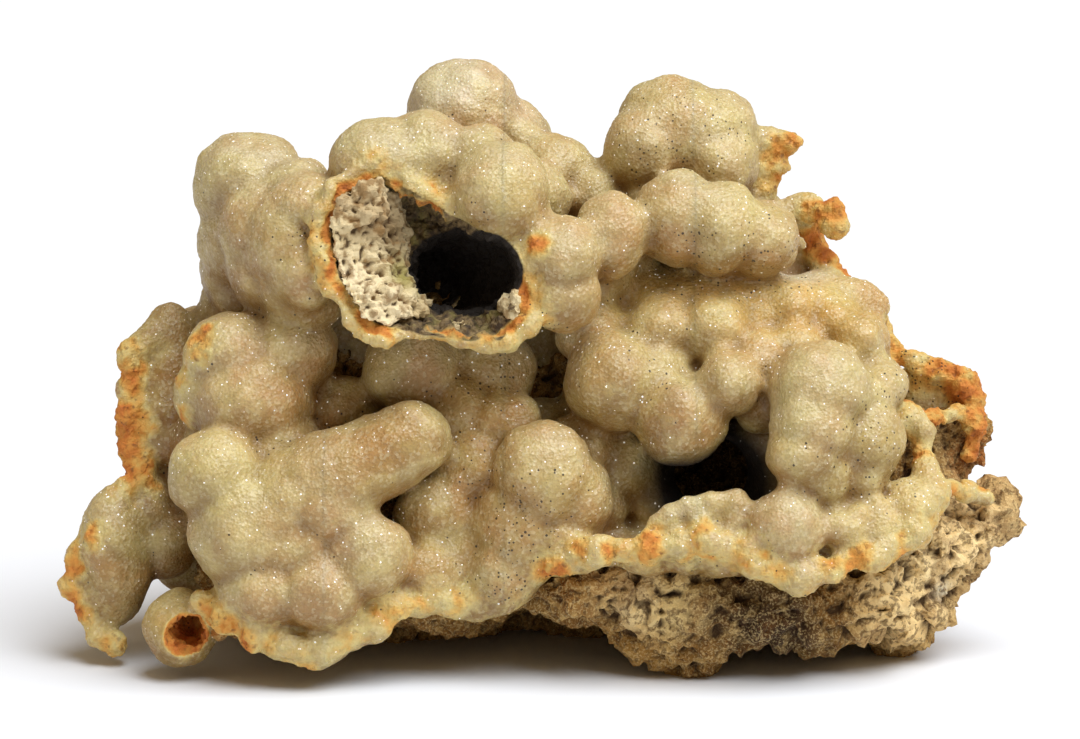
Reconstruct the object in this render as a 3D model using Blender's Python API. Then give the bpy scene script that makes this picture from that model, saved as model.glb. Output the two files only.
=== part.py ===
"""Botryoidal quartz on its host rock, with a broken tube of quartz that holds a chalky filling.

The specimen stands as it does on a table: X runs across it, Y away from the front, Z up.
The origin is on the table under the middle of the specimen. Places and radii are in
millimetres until a mesh is made, and every mesh is in metres.
"""

import math

import bmesh
import bpy
import numpy as np
from mathutils import Vector, noise

MM = 0.001

# How finely the lumps are blended into one skin, and how many triangles are kept of it
BLEND_VOXEL = 1.7
QUARTZ_TRIANGLES = 5600
ROCK_TRIANGLES = 2400
CHALK_TRIANGLES = 420

# The quartz skin swells and sinks slowly, and the rock is far rougher
SWELL_LENGTH = 13.0
SWELL_HEIGHT = 0.9
ROCK_LUMP_LENGTH = 11.0
ROCK_LUMP_HEIGHT = 3.2
ROCK_GRIT_LENGTH = 4.5
ROCK_GRIT_HEIGHT = 1.5

# Pieces that grew against each other keep this gap, so that their solids stay apart
GAP = 0.6
CLEARANCE = 0.2
TABLE_CUT = 30.0

# The middle of the specimen as laid out below, which is moved to the origin at the end
CENTRE = (-0.3, -3.0, 0.0)

# A ball is (middle, radii), and a finger is (start, end, start radius, end radius)
TUBE_BALLS = (
    ((-61, -8, 99.5), (12, 12, 12)),
    ((-51, -14, 97), (9.5, 12, 9)),
    ((-59, -8, 89), (13, 13, 13)),
    ((-54, -16, 85), (12, 12, 13)),
    ((-49, -24, 81), (9.5, 9, 10)),
    ((-52, -25, 90), (9, 10, 11)),
    ((-48, -30, 84), (8, 8, 8)),
    ((-48, -25, 97), (8, 9, 8)),
    ((-61, -3, 81), (11, 11, 10)),
    ((-57, -18, 92), (10, 10, 10)),
    ((-33, -22, 106), (10.5, 11, 10)),
    ((-24, -19, 106.5), (10.5, 11, 10)),
    ((-18, -22, 99), (8, 8, 8)),
    ((-8, -30, 100.5), (10.5, 10, 11)),
    ((-13, -21, 105.5), (8.5, 9, 8.5)),
    ((-16.5, 0, 113.5), (12, 12, 12)),
    ((-5.5, 4, 107), (8.5, 11, 9)),
    ((3, -3, 102), (8.5, 10, 8)),
    ((10, -4, 97), (8, 10, 8)),
    ((-1, -16, 98), (8, 9, 8)),
    ((4, -33, 88), (8.5, 9, 9)),
    ((4.5, -33, 80), (8.5, 8.5, 8)),
    ((15, -25, 91.5), (7.6, 9, 9.2)),
    ((18, -10, 86), (7, 8, 7)),
    ((12, -14, 82), (9, 9, 9)),
)
CROWN_BALLS = (
    ((28.5, 0, 109.5), (12.5, 13, 12.5)),
    ((22, -6, 107), (8.8, 9, 9)),
    ((36, 1, 110.5), (9.5, 11, 9)),
    ((37.5, -3, 103.5), (8.8, 11, 8.5)),
    ((28.5, -20, 94), (9.4, 10, 10.2)),
    ((37, -21, 92.5), (9.6, 10, 10)),
    ((45.5, -18, 90), (8.6, 10, 8.6)),
    ((25, -6, 96), (8, 8, 7)),
)
DOME_BALLS = (
    ((15.5, -27, 61.5), (11, 11.5, 11)),
    ((11.5, -20, 70), (8, 9, 8)),
    ((25, -21, 71.5), (8, 9, 8)),
    ((23, -27, 61), (9, 9, 9)),
    ((29, -32, 54.5), (9.8, 10.5, 10)),
    ((38.5, -33, 62), (7, 8, 7)),
    ((36.5, -22, 71), (8, 9, 8)),
    ((45.6, -26, 66), (6.5, 7, 6.5)),
    ((35, -13, 77), (7.5, 9, 6.5)),
    ((23, -11, 77.5), (7, 8, 6)),
    ((52, -15, 74.5), (7.5, 9, 7)),
    ((61, -16, 71.5), (6.8, 8, 6.8)),
    ((67.5, -15, 68.5), (6, 7, 6)),
    ((53, -22, 66), (8, 8, 8)),
    ((42, -22, 63), (9, 8, 9)),
    ((46, -27, 57), (6.5, 6, 6.5)),
    ((57.5, -34, 61), (10.5, 10.5, 10.5)),
    ((56, -37, 54), (9, 10, 9)),
    ((53.8, -40, 48), (7.6, 8, 7.4)),
    ((58.5, -38, 43.5), (6.2, 7, 6)),
    ((67, -33, 50), (8.6, 9, 8.8)),
    ((70.5, -26, 61), (5.6, 6.5, 5.6)),
    ((66, -29, 58), (7.4, 8, 7.4)),
    ((65, -34, 43.5), (6.6, 7, 6.6)),
    ((66, -22, 69), (6, 7, 6)),
)
CENTRE_BALLS = (
    ((1, -36, 43), (10.5, 10, 11.5)),
    ((7, -34, 38), (8.6, 9, 10)),
    ((-4, -35, 31), (10, 9.5, 12)),
    ((-8, -36, 23), (7.8, 8, 8.5)),
    ((5, -36, 30), (7.5, 8, 8)),
    ((-26.5, -21, 62.8), (10.5, 10, 10)),
    ((-41, -18.5, 53.6), (7.4, 8, 7.4)),
    ((-21, -30, 33), (9.5, 8, 10)),
    ((-23, -35, 22), (9, 8, 8)),
    ((-15, -31, 24), (9, 9, 9)),
    ((-29, -33, 21), (8, 8, 7)),
    ((-10, -18, 62), (9.5, 8, 9)),
    ((-8, -25, 52), (8.5, 8, 8)),
    ((-16, -24, 53), (8, 7.5, 9)),
    ((-14, -28, 44), (9, 8, 9)),
)
LEFT_BALLS = (
    ((-67, -37, 43.5), (10.2, 10, 10)),
    ((-60, -38, 32.5), (13, 12.5, 13)),
    ((-43.5, -38, 38), (11, 11, 10.5)),
    ((-51, -38, 30), (11.5, 11, 11)),
    ((-56, -41, 20.5), (11, 9.5, 8.5)),
    ((-35.5, -42, 27.5), (9.4, 9, 9.4)),
    ((-44.5, -43.5, 21), (9, 9, 8.6)),
    ((-64.5, -24, 66.5), (10, 10, 8.6)),
    ((-52, -22, 66.5), (10.5, 10, 9.2)),
    ((-60, -26, 57), (13, 12, 12)),
    ((-55, -28, 47), (9.5, 9.5, 9.5)),
    ((-69, -24, 58), (7, 8, 9)),
    ((-89.5, -18, 22), (8, 9, 15)),
    ((-83, -13, 31), (6, 7, 8)),
    ((-79, -15, 24), (6, 7, 7)),
    ((-74.5, -34, 10.5), (7.5, 9, 8)),
)
RIM_BALLS = (
    ((50.2, -43.5, 34), (8.2, 8, 8.2)),
    ((63, -40, 32.5), (5.8, 6, 5.8)),
    ((70, -38, 32.5), (5.4, 6, 5.4)),
    ((77, -34, 36.5), (5.8, 7, 6)),
    ((34.5, -41, 35), (4.2, 4.5, 4.2)),
    ((40, -41, 35), (4.6, 5, 4.6)),
    ((29, -40, 34), (4.0, 4.5, 4.0)),
    ((57, -38, 33), (5, 6, 5)),
    ((83, -5, 55), (9, 4.5, 7.5)),
)
# The inside of the cave, seen between the lumps
CAVE_BALLS = (
    ((8, -24, 45.5), (8.6, 9, 8.6)),
    ((17.5, -20, 42), (9.4, 10, 9.4)),
    ((24, -22, 34.5), (6.4, 7, 6.4)),
    ((11, -27, 35.5), (7.4, 8, 7.4)),
    ((12, -12, 52), (9, 9, 9)),
    ((47, -18, 47), (6.4, 8, 7)),
    ((50, -20, 38), (6, 8, 6)),
)
# Lumps on the far side of the crest, where the crust ends against the rock
BACK_BALLS = (
    ((-58, 8, 76), (12, 11, 11)),
    ((-42, 10, 84), (12, 11, 12)),
    ((-25, 10, 92), (12, 11, 11)),
    ((-9, 14, 98), (10, 10, 9)),
    ((8, 10, 92), (10, 10, 9)),
    ((26, 11, 96), (12, 11, 11)),
    ((43, 9, 88), (11, 10, 11)),
    ((56, 6, 76), (9, 9, 11)),
    ((-72, 8, 60), (9, 10, 12)),
    ((-80, 6, 42), (8, 9, 13)),
    ((-84, 2, 24), (8, 9, 10)),
)
# What is behind the lumps and joins them
CORE_BALLS = (
    ((-34, 2, 60), (42, 14, 38)),
    ((32, 2, 68), (31, 13, 31)),
    ((-58, -14, 42), (19, 14, 25)),
    ((0, -14, 36), (14, 11, 20)),
    ((36, -11, 72), (27, 14, 12)),
    ((56, -10, 72), (14, 11, 9)),
    ((62, -14, 56), (13, 13, 18)),
    ((38, -24, 26), (42, 20, 5)),
    ((60, -10, 74), (14, 6, 8)),
    ((-75, -2, 38), (13, 10, 28)),
)
FINGERS = (
    ((-26, -38, 51), (-46, -38, 41), 8.5, 10.5),
    ((-46, -38, 41), (-58, -37, 33), 10.5, 11),
    ((-78.5, -2, 68), (-79.5, -7, 46), 6, 7.5),
    ((-86, -9, 64), (-78, -3, 70), 3.2, 4.5),
    ((44, 3, 107.5), (53.5, 4, 107), 3.4, 2.0),
    ((44, 3, 102), (51, 4, 102.5), 3.4, 2.4),
    ((43, 3, 97), (49, 4, 97.5), 3.6, 2.6),
    ((48, -6, 92), (57, -6, 95.5), 4.5, 3),
)
# Broken edges of the crust: each is a path of points and the half thickness of the crust
RIM_PATH = (
    (3, -42, 26), (9, -43, 28), (18, -45, 29.5), (28, -46, 31), (36, -46, 31),
    (42, -47, 31), (44.5, -48, 26.5), (50, -47, 24.5), (60, -46, 25.5), (70, -43, 27.5),
    (77, -39, 32), (81.5, -34, 38), (80, -26, 46), (76, -24, 54),
)
SKIRT_PATH = (
    (-69, -40, 17), (-62, -43, 15), (-56, -45, 11), (-50, -46, 8.5), (-47, -46, 7.5),
    (-42, -45, 10), (-37, -44, 12.5), (-31, -43, 16), (-24, -40, 17.5), (-14, -38, 17),
    (-5, -38, 17),
)
RIGHT_EDGE_PATH = (
    (56, -4, 91), (59, -5, 84), (66, -6, 77), (71, -7, 70), (75, -8, 64), (82, -9, 61),
    (88, -10, 60), (91, -11, 55), (92, -12, 49), (91, -12, 44),
)
CUP_LEDGE_PATH = ((76, -22, 54), (82, -20, 52.5), (90, -13, 52))
CORNER_PATH = ((81.5, -30, 41), (86, -24, 38), (94, -18, 35.5))
STUB_PATH = ((57, -8, 94), (61.5, -10, 95), (62, -11, 91))
LEFT_EDGE_PATH = (
    (-86, -9, 64), (-86, -10, 58), (-86, -11, 51), (-87, -12, 45), (-84, -14, 40),
)
LEFT_SHELL_PATH = (
    (-85, -16, 39), (-92, -18, 30), (-97, -20, 22), (-99, -21, 17.5), (-96, -22, 11),
    (-93, -23, 6.5), (-89, -24, 4.5),
)
EDGE_PATHS = (
    (RIM_PATH, 3.2), (SKIRT_PATH, 3.4), (RIGHT_EDGE_PATH, 2.4), (CUP_LEDGE_PATH, 2.0),
    (CORNER_PATH, 2.3), (STUB_PATH, 2.2), (LEFT_EDGE_PATH, 2.8), (LEFT_SHELL_PATH, 2.6),
)

# The mouth of the broken tube, as its lip runs round: across, depth, up
MOUTH_LIP = (
    (-42, -33, 104), (-45.5, -35, 97), (-45, -38, 90), (-44, -40, 85), (-40, -42, 79),
    (-36, -43, 74), (-31.5, -44, 73), (-25, -44, 75), (-19, -44, 73.5), (-12, -43, 71.5),
    (-6, -42, 72), (-1, -40, 77), (-2.5, -37, 86), (-6, -34, 92), (-12, -33, 93),
    (-19, -32, 98), (-27, -30, 104), (-34, -30, 107),
)
LIP_WALL = 2.4
BARREL_DEPTH = 30.0
BOWL_DEPTH = 14.0
# The void runs on from the bowl: two fingers side by side make it wider than high
VOID_FINGERS = (
    ((-18.5, -46, 87), (-19, -26, 84), 7.4, 7.4),
    ((-11, -46, 87), (-13, -26, 84), 7.4, 7.4),
    ((-16, -26, 84), (-24, -9, 79), 8.2, 6.0),
)
STUB_HOLE = ((-73, -46, 10.5), (-72.5, -30, 11.5), 4.6, 2.8)
# The cave goes in under the dome. A wider finger of quartz, which starts further in, lines it
CAVE_FINGERS = (
    ((27, -34, 43), (45, -34, 42), 3, 3),
    ((36, -26, 39.5), (36, 2, 41), 9.2, 5.5),
)
CAVE_LINER = ((36, -13, 39), (36, 3, 41), 12.5, 9.5)
CHALK_BALLS = (
    ((-46, -25, 87), (20, 15, 24)),
    ((-36, -28, 78), (14, 12, 7)),
)

# The rock that the quartz grew on
ROCK_BALLS = (
    ((-28, 14, 40), (45, 32, 43)),
    ((34, 16, 42), (45, 30, 44)),
    ((2, 22, 64), (40, 23, 34)),
    ((-62, 8, 34), (20, 24, 30)),
    ((66, 8, 34), (23, 24, 28)),
    ((-50, -14, 17), (22, 16, 11)),
    ((-18, -14, 17), (20, 18, 11)),
    ((30, -27, 15), (19, 17, 13)),
    ((10, -29, 19), (14, 14, 8)),
    ((50, -27, 15), (16, 17, 10)),
    ((66, -26, 16), (13, 14, 10)),
    ((76, -14, 16), (14, 15, 13)),
    ((82, -12, 24), (11, 13, 12)),
    ((91, -12, 28), (9, 8, 7)),
    ((85, -8, 43), (8, 6, 8)),
    ((91, -9, 46), (5, 5, 5)),
    ((29, -29, 5), (8, 7, 6.5)),
    ((76, -9, 5), (7, 7, 6)),
    ((58, 22, 8), (26, 18, 12)),
    ((-46, 18, 8), (28, 20, 12)),
    ((6, 20, 15), (40, 24, 18)),
)
ROCK_FINGERS = (
    ((-67, -34, 15), (-53, -36, 11), 4.5, 4.5),
    ((-66, -33, 14), (-56, -10, 20), 5, 9),
    ((-30, -33, 19), (-4, -32, 18), 5, 5),
    ((-20, -30, 18), (-10, 0, 20), 6, 10),
)
# Where the rock broke off flat when it was taken out: a place on the break and its outward side
ROCK_BREAKS = (
    ((0, 43, 40), (0.06, 1.0, 0.12)),
    ((-52, 34, 50), (-0.62, 0.75, 0.3)),
    ((60, 34, 46), (0.6, 0.76, 0.34)),
    ((5, 36, 78), (0.1, 0.7, 0.72)),
)
BREAK_FLATNESS = 0.8

QUARTZ_COLOUR = (0.52, 0.45, 0.32)
ROCK_COLOUR = (0.33, 0.24, 0.14)
CHALK_COLOUR = (0.66, 0.60, 0.48)


def clear_scene():
    for obj in list(bpy.data.objects):
        bpy.data.objects.remove(obj)


def material(name, colour, roughness):
    made = bpy.data.materials.new(name)
    made.use_nodes = True
    shader = made.node_tree.nodes["Principled BSDF"]
    shader.inputs["Base Color"].default_value = (*colour, 1.0)
    shader.inputs["Roughness"].default_value = roughness
    shader.inputs["Metallic"].default_value = 0.0
    return made


class Pile:
    """Overlapping shapes gathered as lists of points and faces, to be made one mesh."""

    def __init__(self):
        mesh = bmesh.new()
        bmesh.ops.create_icosphere(mesh, subdivisions=3, radius=1.0)
        self.unit_points = np.array([vertex.co for vertex in mesh.verts])
        self.unit_faces = np.array([[vertex.index for vertex in face.verts] for face in mesh.faces])
        mesh.free()
        self.points, self.faces, self.count = [], [], 0

    def shape(self, points, faces):
        self.points.append(points)
        self.faces.append(faces + self.count)
        self.count += len(points)

    def ball(self, middle, radii):
        self.shape(self.unit_points * np.array(radii) + np.array(middle), self.unit_faces)

    def finger(self, start, end, start_radius, end_radius):
        """A run of balls close enough together to blend into one rounded finger."""
        start, end = np.array(start, float), np.array(end, float)
        step = 0.45 * min(start_radius, end_radius)
        count = max(2, math.ceil(np.linalg.norm(end - start) / step))
        for share in np.linspace(0.0, 1.0, count + 1):
            radius = start_radius + (end_radius - start_radius) * share
            self.ball(start + (end - start) * share, (radius,) * 3)

    def path(self, points, radius):
        for start, end in zip(points, points[1:]):
            self.finger(start, end, radius, radius)

    def balls(self, table):
        for middle, radii in table:
            self.ball(middle, radii)

    def hull(self, points):
        """The tight wrapping of a cloud of points."""
        mesh = bmesh.new()
        for point in points:
            mesh.verts.new(point)
        bmesh.ops.convex_hull(mesh, input=mesh.verts[:])
        inside = [vertex for vertex in mesh.verts if not vertex.link_faces]
        bmesh.ops.delete(mesh, geom=inside, context="VERTS")
        bmesh.ops.recalc_face_normals(mesh, faces=mesh.faces[:])
        mesh.verts.index_update()
        faces = [[vertex.index for vertex in face.verts] for face in mesh.faces]
        self.shape(np.array([vertex.co for vertex in mesh.verts]), np.array(faces))
        mesh.free()

    def object(self, name):
        data = bpy.data.meshes.new(name)
        data.from_pydata(np.concatenate(self.points) * MM, [], np.concatenate(self.faces))
        obj = bpy.data.objects.new(name, data)
        bpy.context.collection.objects.link(obj)
        return obj


def barrel_points(lip, depth, narrow):
    """The lip and the same outline shrunk and moved away: their wrapping is a barrel."""
    lip = np.array(lip, float)
    middle = lip.mean(axis=0)
    back = middle + (lip - middle) * narrow + np.array((0, depth, 0))
    return np.concatenate((lip, back))


def inner_lip(lip, wall, forward):
    """The lip's outline moved in by the wall, and brought towards the viewer."""
    lip = np.array(lip, float)
    out = (lip - lip.mean(axis=0)) * np.array((1, 0, 1))
    out /= np.linalg.norm(out, axis=1)[:, None]
    return lip - out * wall - np.array((0, forward, 0))


def apply_modifiers(obj):
    graph = bpy.context.evaluated_depsgraph_get()
    made = bpy.data.meshes.new_from_object(obj.evaluated_get(graph))
    old = obj.data
    obj.modifiers.clear()
    obj.data = made
    bpy.data.meshes.remove(old)


def blend_skin(obj, voxel, smoothing):
    """Overlapping shapes become one skin, whose creases are a little rounded."""
    remesh = obj.modifiers.new("one_skin", "REMESH")
    remesh.mode = "VOXEL"
    remesh.voxel_size = voxel * MM
    smooth = obj.modifiers.new("round_creases", "SMOOTH")
    smooth.factor = 0.5
    smooth.iterations = smoothing
    apply_modifiers(obj)


def swell(point):
    return SWELL_HEIGHT * noise.noise(point / SWELL_LENGTH)


def rough_rock(point):
    lumps = noise.noise(point / ROCK_LUMP_LENGTH + Vector((7.3, 1.1, 4.2)))
    grit = noise.noise(point / ROCK_GRIT_LENGTH)
    return ROCK_LUMP_HEIGHT * lumps + ROCK_GRIT_HEIGHT * grit


def move_skin(obj, height):
    """Moves each point of the skin outwards by height, a rule for millimetres at a place."""
    outward = [vertex.normal.copy() for vertex in obj.data.vertices]
    for vertex, normal in zip(obj.data.vertices, outward):
        vertex.co += normal * height(vertex.co / MM) * MM
    obj.data.update()


def break_flat(obj, breaks):
    """Flattens whatever is past each break towards it, as rock that split there."""
    for place, side in breaks:
        side = Vector(side).normalized()
        for vertex in obj.data.vertices:
            past = (vertex.co - Vector(place) * MM).dot(side)
            if past > 0:
                vertex.co -= side * past * BREAK_FLATNESS
    obj.data.update()


def thin_out(obj, triangles):
    obj.data.calc_loop_triangles()
    decimate = obj.modifiers.new("fewer_triangles", "DECIMATE")
    decimate.ratio = triangles / len(obj.data.loop_triangles)
    apply_modifiers(obj)


def boolean(obj, other, operation):
    cut = obj.modifiers.new(f"{operation.lower()}_{other.name}", "BOOLEAN")
    cut.operation = operation
    cut.object = other
    cut.solver = "EXACT"
    apply_modifiers(obj)


def cutter(obj):
    obj.hide_render = True
    obj.display_type = "WIRE"
    return obj


def grown_copy(obj, name, distance):
    copy = bpy.data.objects.new(name, obj.data.copy())
    bpy.context.collection.objects.link(copy)
    move_skin(copy, lambda point: distance)
    return cutter(copy)


def largest_body(obj):
    """Keeps the one body of a mesh that holds the most points, without loose crumbs."""
    mesh = bmesh.new()
    mesh.from_mesh(obj.data)
    left = set(mesh.verts)
    bodies = []
    while left:
        seed = left.pop()
        body, queue = {seed}, [seed]
        while queue:
            for edge in queue.pop().link_edges:
                for vertex in edge.verts:
                    if vertex in left:
                        left.remove(vertex)
                        body.add(vertex)
                        queue.append(vertex)
        bodies.append(body)
    bodies.sort(key=len)
    crumbs = [vertex for body in bodies[:-1] for vertex in body]
    bmesh.ops.delete(mesh, geom=crumbs, context="VERTS")
    mesh.to_mesh(obj.data)
    mesh.free()


def quartz_lumps():
    pile = Pile()
    pile.finger(*CAVE_LINER)
    for table in (TUBE_BALLS, CROWN_BALLS, DOME_BALLS, CENTRE_BALLS, LEFT_BALLS, RIM_BALLS):
        pile.balls(table)
    for table in (CAVE_BALLS, BACK_BALLS, CORE_BALLS):
        pile.balls(table)
    for finger in FINGERS:
        pile.finger(*finger)
    for points, radius in EDGE_PATHS:
        pile.path(points, radius)
    pile.hull(barrel_points(MOUTH_LIP, BARREL_DEPTH, 0.8))
    return pile.object("quartz_crust")


def tube_bowl():
    """The wide, shallow hollow just behind the lip, where the filling lies."""
    pile = Pile()
    pile.hull(barrel_points(inner_lip(MOUTH_LIP, LIP_WALL, 4.0), BOWL_DEPTH, 0.72))
    return cutter(pile.object("tube_bowl"))


def hollow(name, fingers, swollen, triangles):
    """A rounded hollow's shape, made wider all round by swollen millimetres."""
    pile = Pile()
    for start, end, start_radius, end_radius in fingers:
        pile.finger(start, end, start_radius + swollen, end_radius + swollen)
    shape = pile.object(name)
    blend_skin(shape, 1.2, 2)
    thin_out(shape, triangles)
    return cutter(shape)


def under_the_table():
    mesh = bmesh.new()
    bmesh.ops.create_cube(mesh, size=1.0)
    bmesh.ops.scale(mesh, vec=(0.4, 0.4, TABLE_CUT * MM), verts=mesh.verts)
    bmesh.ops.translate(mesh, vec=(0, 0, -TABLE_CUT * MM / 2), verts=mesh.verts)
    data = bpy.data.meshes.new("under_the_table")
    mesh.to_mesh(data)
    mesh.free()
    obj = bpy.data.objects.new("under_the_table", data)
    bpy.context.collection.objects.link(obj)
    return cutter(obj)


def host_rock():
    pile = Pile()
    pile.balls(ROCK_BALLS)
    for finger in ROCK_FINGERS:
        pile.finger(*finger)
    rock = pile.object("host_rock")
    blend_skin(rock, BLEND_VOXEL, 3)
    break_flat(rock, ROCK_BREAKS)
    move_skin(rock, rough_rock)
    thin_out(rock, ROCK_TRIANGLES)
    boolean(rock, under_the_table(), "DIFFERENCE")
    boolean(rock, hollow("cave_in_rock", (CAVE_LINER,), -0.5, 200), "DIFFERENCE")
    largest_body(rock)
    return rock


def chalk_filling(bowl):
    pile = Pile()
    pile.balls(CHALK_BALLS)
    chalk = pile.object("chalk_filling")
    blend_skin(chalk, 1.4, 2)
    move_skin(chalk, lambda point: 0.8 * noise.noise(point / 4.0))
    thin_out(chalk, CHALK_TRIANGLES)
    boolean(chalk, grown_copy(bowl, "bowl_inside", -GAP), "INTERSECT")
    largest_body(chalk)
    return chalk


def finish(obj, made_of, rounded):
    """Moves the piece to its place, gives it its material, and shades it."""
    for vertex in obj.data.vertices:
        vertex.co -= Vector(CENTRE) * MM
    for face in obj.data.polygons:
        face.use_smooth = rounded
    obj.data.materials.append(made_of)
    obj.data.update()


def build():
    clear_scene()
    rock = host_rock()
    quartz = quartz_lumps()
    blend_skin(quartz, BLEND_VOXEL, 2)
    move_skin(quartz, swell)
    thin_out(quartz, QUARTZ_TRIANGLES)
    bowl = tube_bowl()
    void = hollow("tube_void", VOID_FINGERS, 0.0, 300)
    cave = hollow("cave", CAVE_FINGERS, 0.0, 200)
    hole = hollow("stub_hole", (STUB_HOLE,), 0.0, 120)
    for away in (cave, bowl, void, hole, grown_copy(rock, "rock_seat", GAP)):
        boolean(quartz, away, "DIFFERENCE")
    largest_body(quartz)
    boolean(rock, grown_copy(quartz, "quartz_clearance", CLEARANCE), "DIFFERENCE")
    largest_body(rock)
    chalk = chalk_filling(bowl)
    boolean(chalk, grown_copy(void, "void_clearance", GAP), "DIFFERENCE")
    boolean(chalk, grown_copy(rock, "rock_clearance", GAP), "DIFFERENCE")
    largest_body(chalk)
    finish(quartz, material("drusy_quartz", QUARTZ_COLOUR, 0.4), rounded=True)
    finish(rock, material("host_rock", ROCK_COLOUR, 0.95), rounded=False)
    finish(chalk, material("chalk", CHALK_COLOUR, 0.95), rounded=False)


build()
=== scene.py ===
"""Botryoidal quartz on its host rock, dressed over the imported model.

The lumps, broken edges and hollows are the part's own, laid out in millimetres, and
are blended here in a fine skin with its sugary crystals, rust, dust and crumbling rock.
"""

import math

import bmesh
import bpy
import numpy as np
from bpy.props import FloatProperty, FloatVectorProperty, PointerProperty
from mathutils import Matrix, Vector, noise
from mathutils.bvhtree import BVHTree


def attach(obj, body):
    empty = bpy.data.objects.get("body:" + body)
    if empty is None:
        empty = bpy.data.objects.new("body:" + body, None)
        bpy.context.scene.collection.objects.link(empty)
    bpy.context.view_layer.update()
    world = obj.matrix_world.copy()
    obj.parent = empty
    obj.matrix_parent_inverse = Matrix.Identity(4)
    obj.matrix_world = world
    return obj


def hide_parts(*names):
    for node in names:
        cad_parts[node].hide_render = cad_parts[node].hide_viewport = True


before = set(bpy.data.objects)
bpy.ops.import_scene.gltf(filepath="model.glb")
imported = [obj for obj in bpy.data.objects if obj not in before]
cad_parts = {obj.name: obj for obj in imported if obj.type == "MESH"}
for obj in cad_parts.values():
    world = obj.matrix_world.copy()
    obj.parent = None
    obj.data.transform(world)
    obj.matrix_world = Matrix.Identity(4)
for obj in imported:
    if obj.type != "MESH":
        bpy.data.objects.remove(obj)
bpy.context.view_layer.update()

bl_info = {
    "name": "Botryoidal quartz specimen",
    "version": (1, 0, 0),
    "blender": (4, 5, 0),
    "location": "View3D > Sidebar > Specimen",
    "description": "Builds a drusy botryoidal quartz specimen on host rock, with a plain studio",
    "category": "Add Mesh",
}

MM = 0.001

# The middle of the specimen as laid out below, which is moved to the origin
CENTRE = (-0.3, -3.0, 0.0)

SWELL_LENGTH = 13.0
SWELL_HEIGHT = 0.9
ROCK_LUMP_LENGTH = 11.0
ROCK_LUMP_HEIGHT = 3.2
ROCK_GRIT_LENGTH = 4.5
ROCK_GRIT_HEIGHT = 1.5

# A ball is (middle, radii), and a finger is (start, end, start radius, end radius)
TUBE_BALLS = (
    ((-61, -8, 99.5), (12, 12, 12)),
    ((-51, -14, 97), (9.5, 12, 9)),
    ((-59, -8, 89), (13, 13, 13)),
    ((-54, -16, 85), (12, 12, 13)),
    ((-49, -24, 81), (9.5, 9, 10)),
    ((-52, -25, 90), (9, 10, 11)),
    ((-48, -30, 84), (8, 8, 8)),
    ((-48, -25, 97), (8, 9, 8)),
    ((-61, -3, 81), (11, 11, 10)),
    ((-57, -18, 92), (10, 10, 10)),
    ((-33, -22, 106), (10.5, 11, 10)),
    ((-24, -19, 106.5), (10.5, 11, 10)),
    ((-18, -22, 99), (8, 8, 8)),
    ((-8, -30, 100.5), (10.5, 10, 11)),
    ((-13, -21, 105.5), (8.5, 9, 8.5)),
    ((-16.5, 0, 113.5), (12, 12, 12)),
    ((-5.5, 4, 107), (8.5, 11, 9)),
    ((3, -3, 102), (8.5, 10, 8)),
    ((10, -4, 97), (8, 10, 8)),
    ((-1, -16, 98), (8, 9, 8)),
    ((4, -33, 88), (8.5, 9, 9)),
    ((4.5, -33, 80), (8.5, 8.5, 8)),
    ((15, -25, 91.5), (7.6, 9, 9.2)),
    ((18, -10, 86), (7, 8, 7)),
    ((12, -14, 82), (9, 9, 9)),
)
CROWN_BALLS = (
    ((28.5, 0, 109.5), (12.5, 13, 12.5)),
    ((22, -6, 107), (8.8, 9, 9)),
    ((36, 1, 110.5), (9.5, 11, 9)),
    ((37.5, -3, 103.5), (8.8, 11, 8.5)),
    ((28.5, -20, 94), (9.4, 10, 10.2)),
    ((37, -21, 92.5), (9.6, 10, 10)),
    ((45.5, -18, 90), (8.6, 10, 8.6)),
    ((25, -6, 96), (8, 8, 7)),
)
DOME_BALLS = (
    ((15.5, -27, 61.5), (11, 11.5, 11)),
    ((11.5, -20, 70), (8, 9, 8)),
    ((25, -21, 71.5), (8, 9, 8)),
    ((23, -27, 61), (9, 9, 9)),
    ((29, -32, 54.5), (9.8, 10.5, 10)),
    ((38.5, -33, 62), (7, 8, 7)),
    ((36.5, -22, 71), (8, 9, 8)),
    ((45.6, -26, 66), (6.5, 7, 6.5)),
    ((35, -13, 77), (7.5, 9, 6.5)),
    ((23, -11, 77.5), (7, 8, 6)),
    ((52, -15, 74.5), (7.5, 9, 7)),
    ((61, -16, 71.5), (6.8, 8, 6.8)),
    ((67.5, -15, 68.5), (6, 7, 6)),
    ((53, -22, 66), (8, 8, 8)),
    ((42, -22, 63), (9, 8, 9)),
    ((46, -27, 57), (6.5, 6, 6.5)),
    ((57.5, -34, 61), (10.5, 10.5, 10.5)),
    ((56, -37, 54), (9, 10, 9)),
    ((53.8, -40, 48), (7.6, 8, 7.4)),
    ((58.5, -38, 43.5), (6.2, 7, 6)),
    ((67, -33, 50), (8.6, 9, 8.8)),
    ((70.5, -26, 61), (5.6, 6.5, 5.6)),
    ((66, -29, 58), (7.4, 8, 7.4)),
    ((65, -34, 43.5), (6.6, 7, 6.6)),
    ((66, -22, 69), (6, 7, 6)),
)
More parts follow.
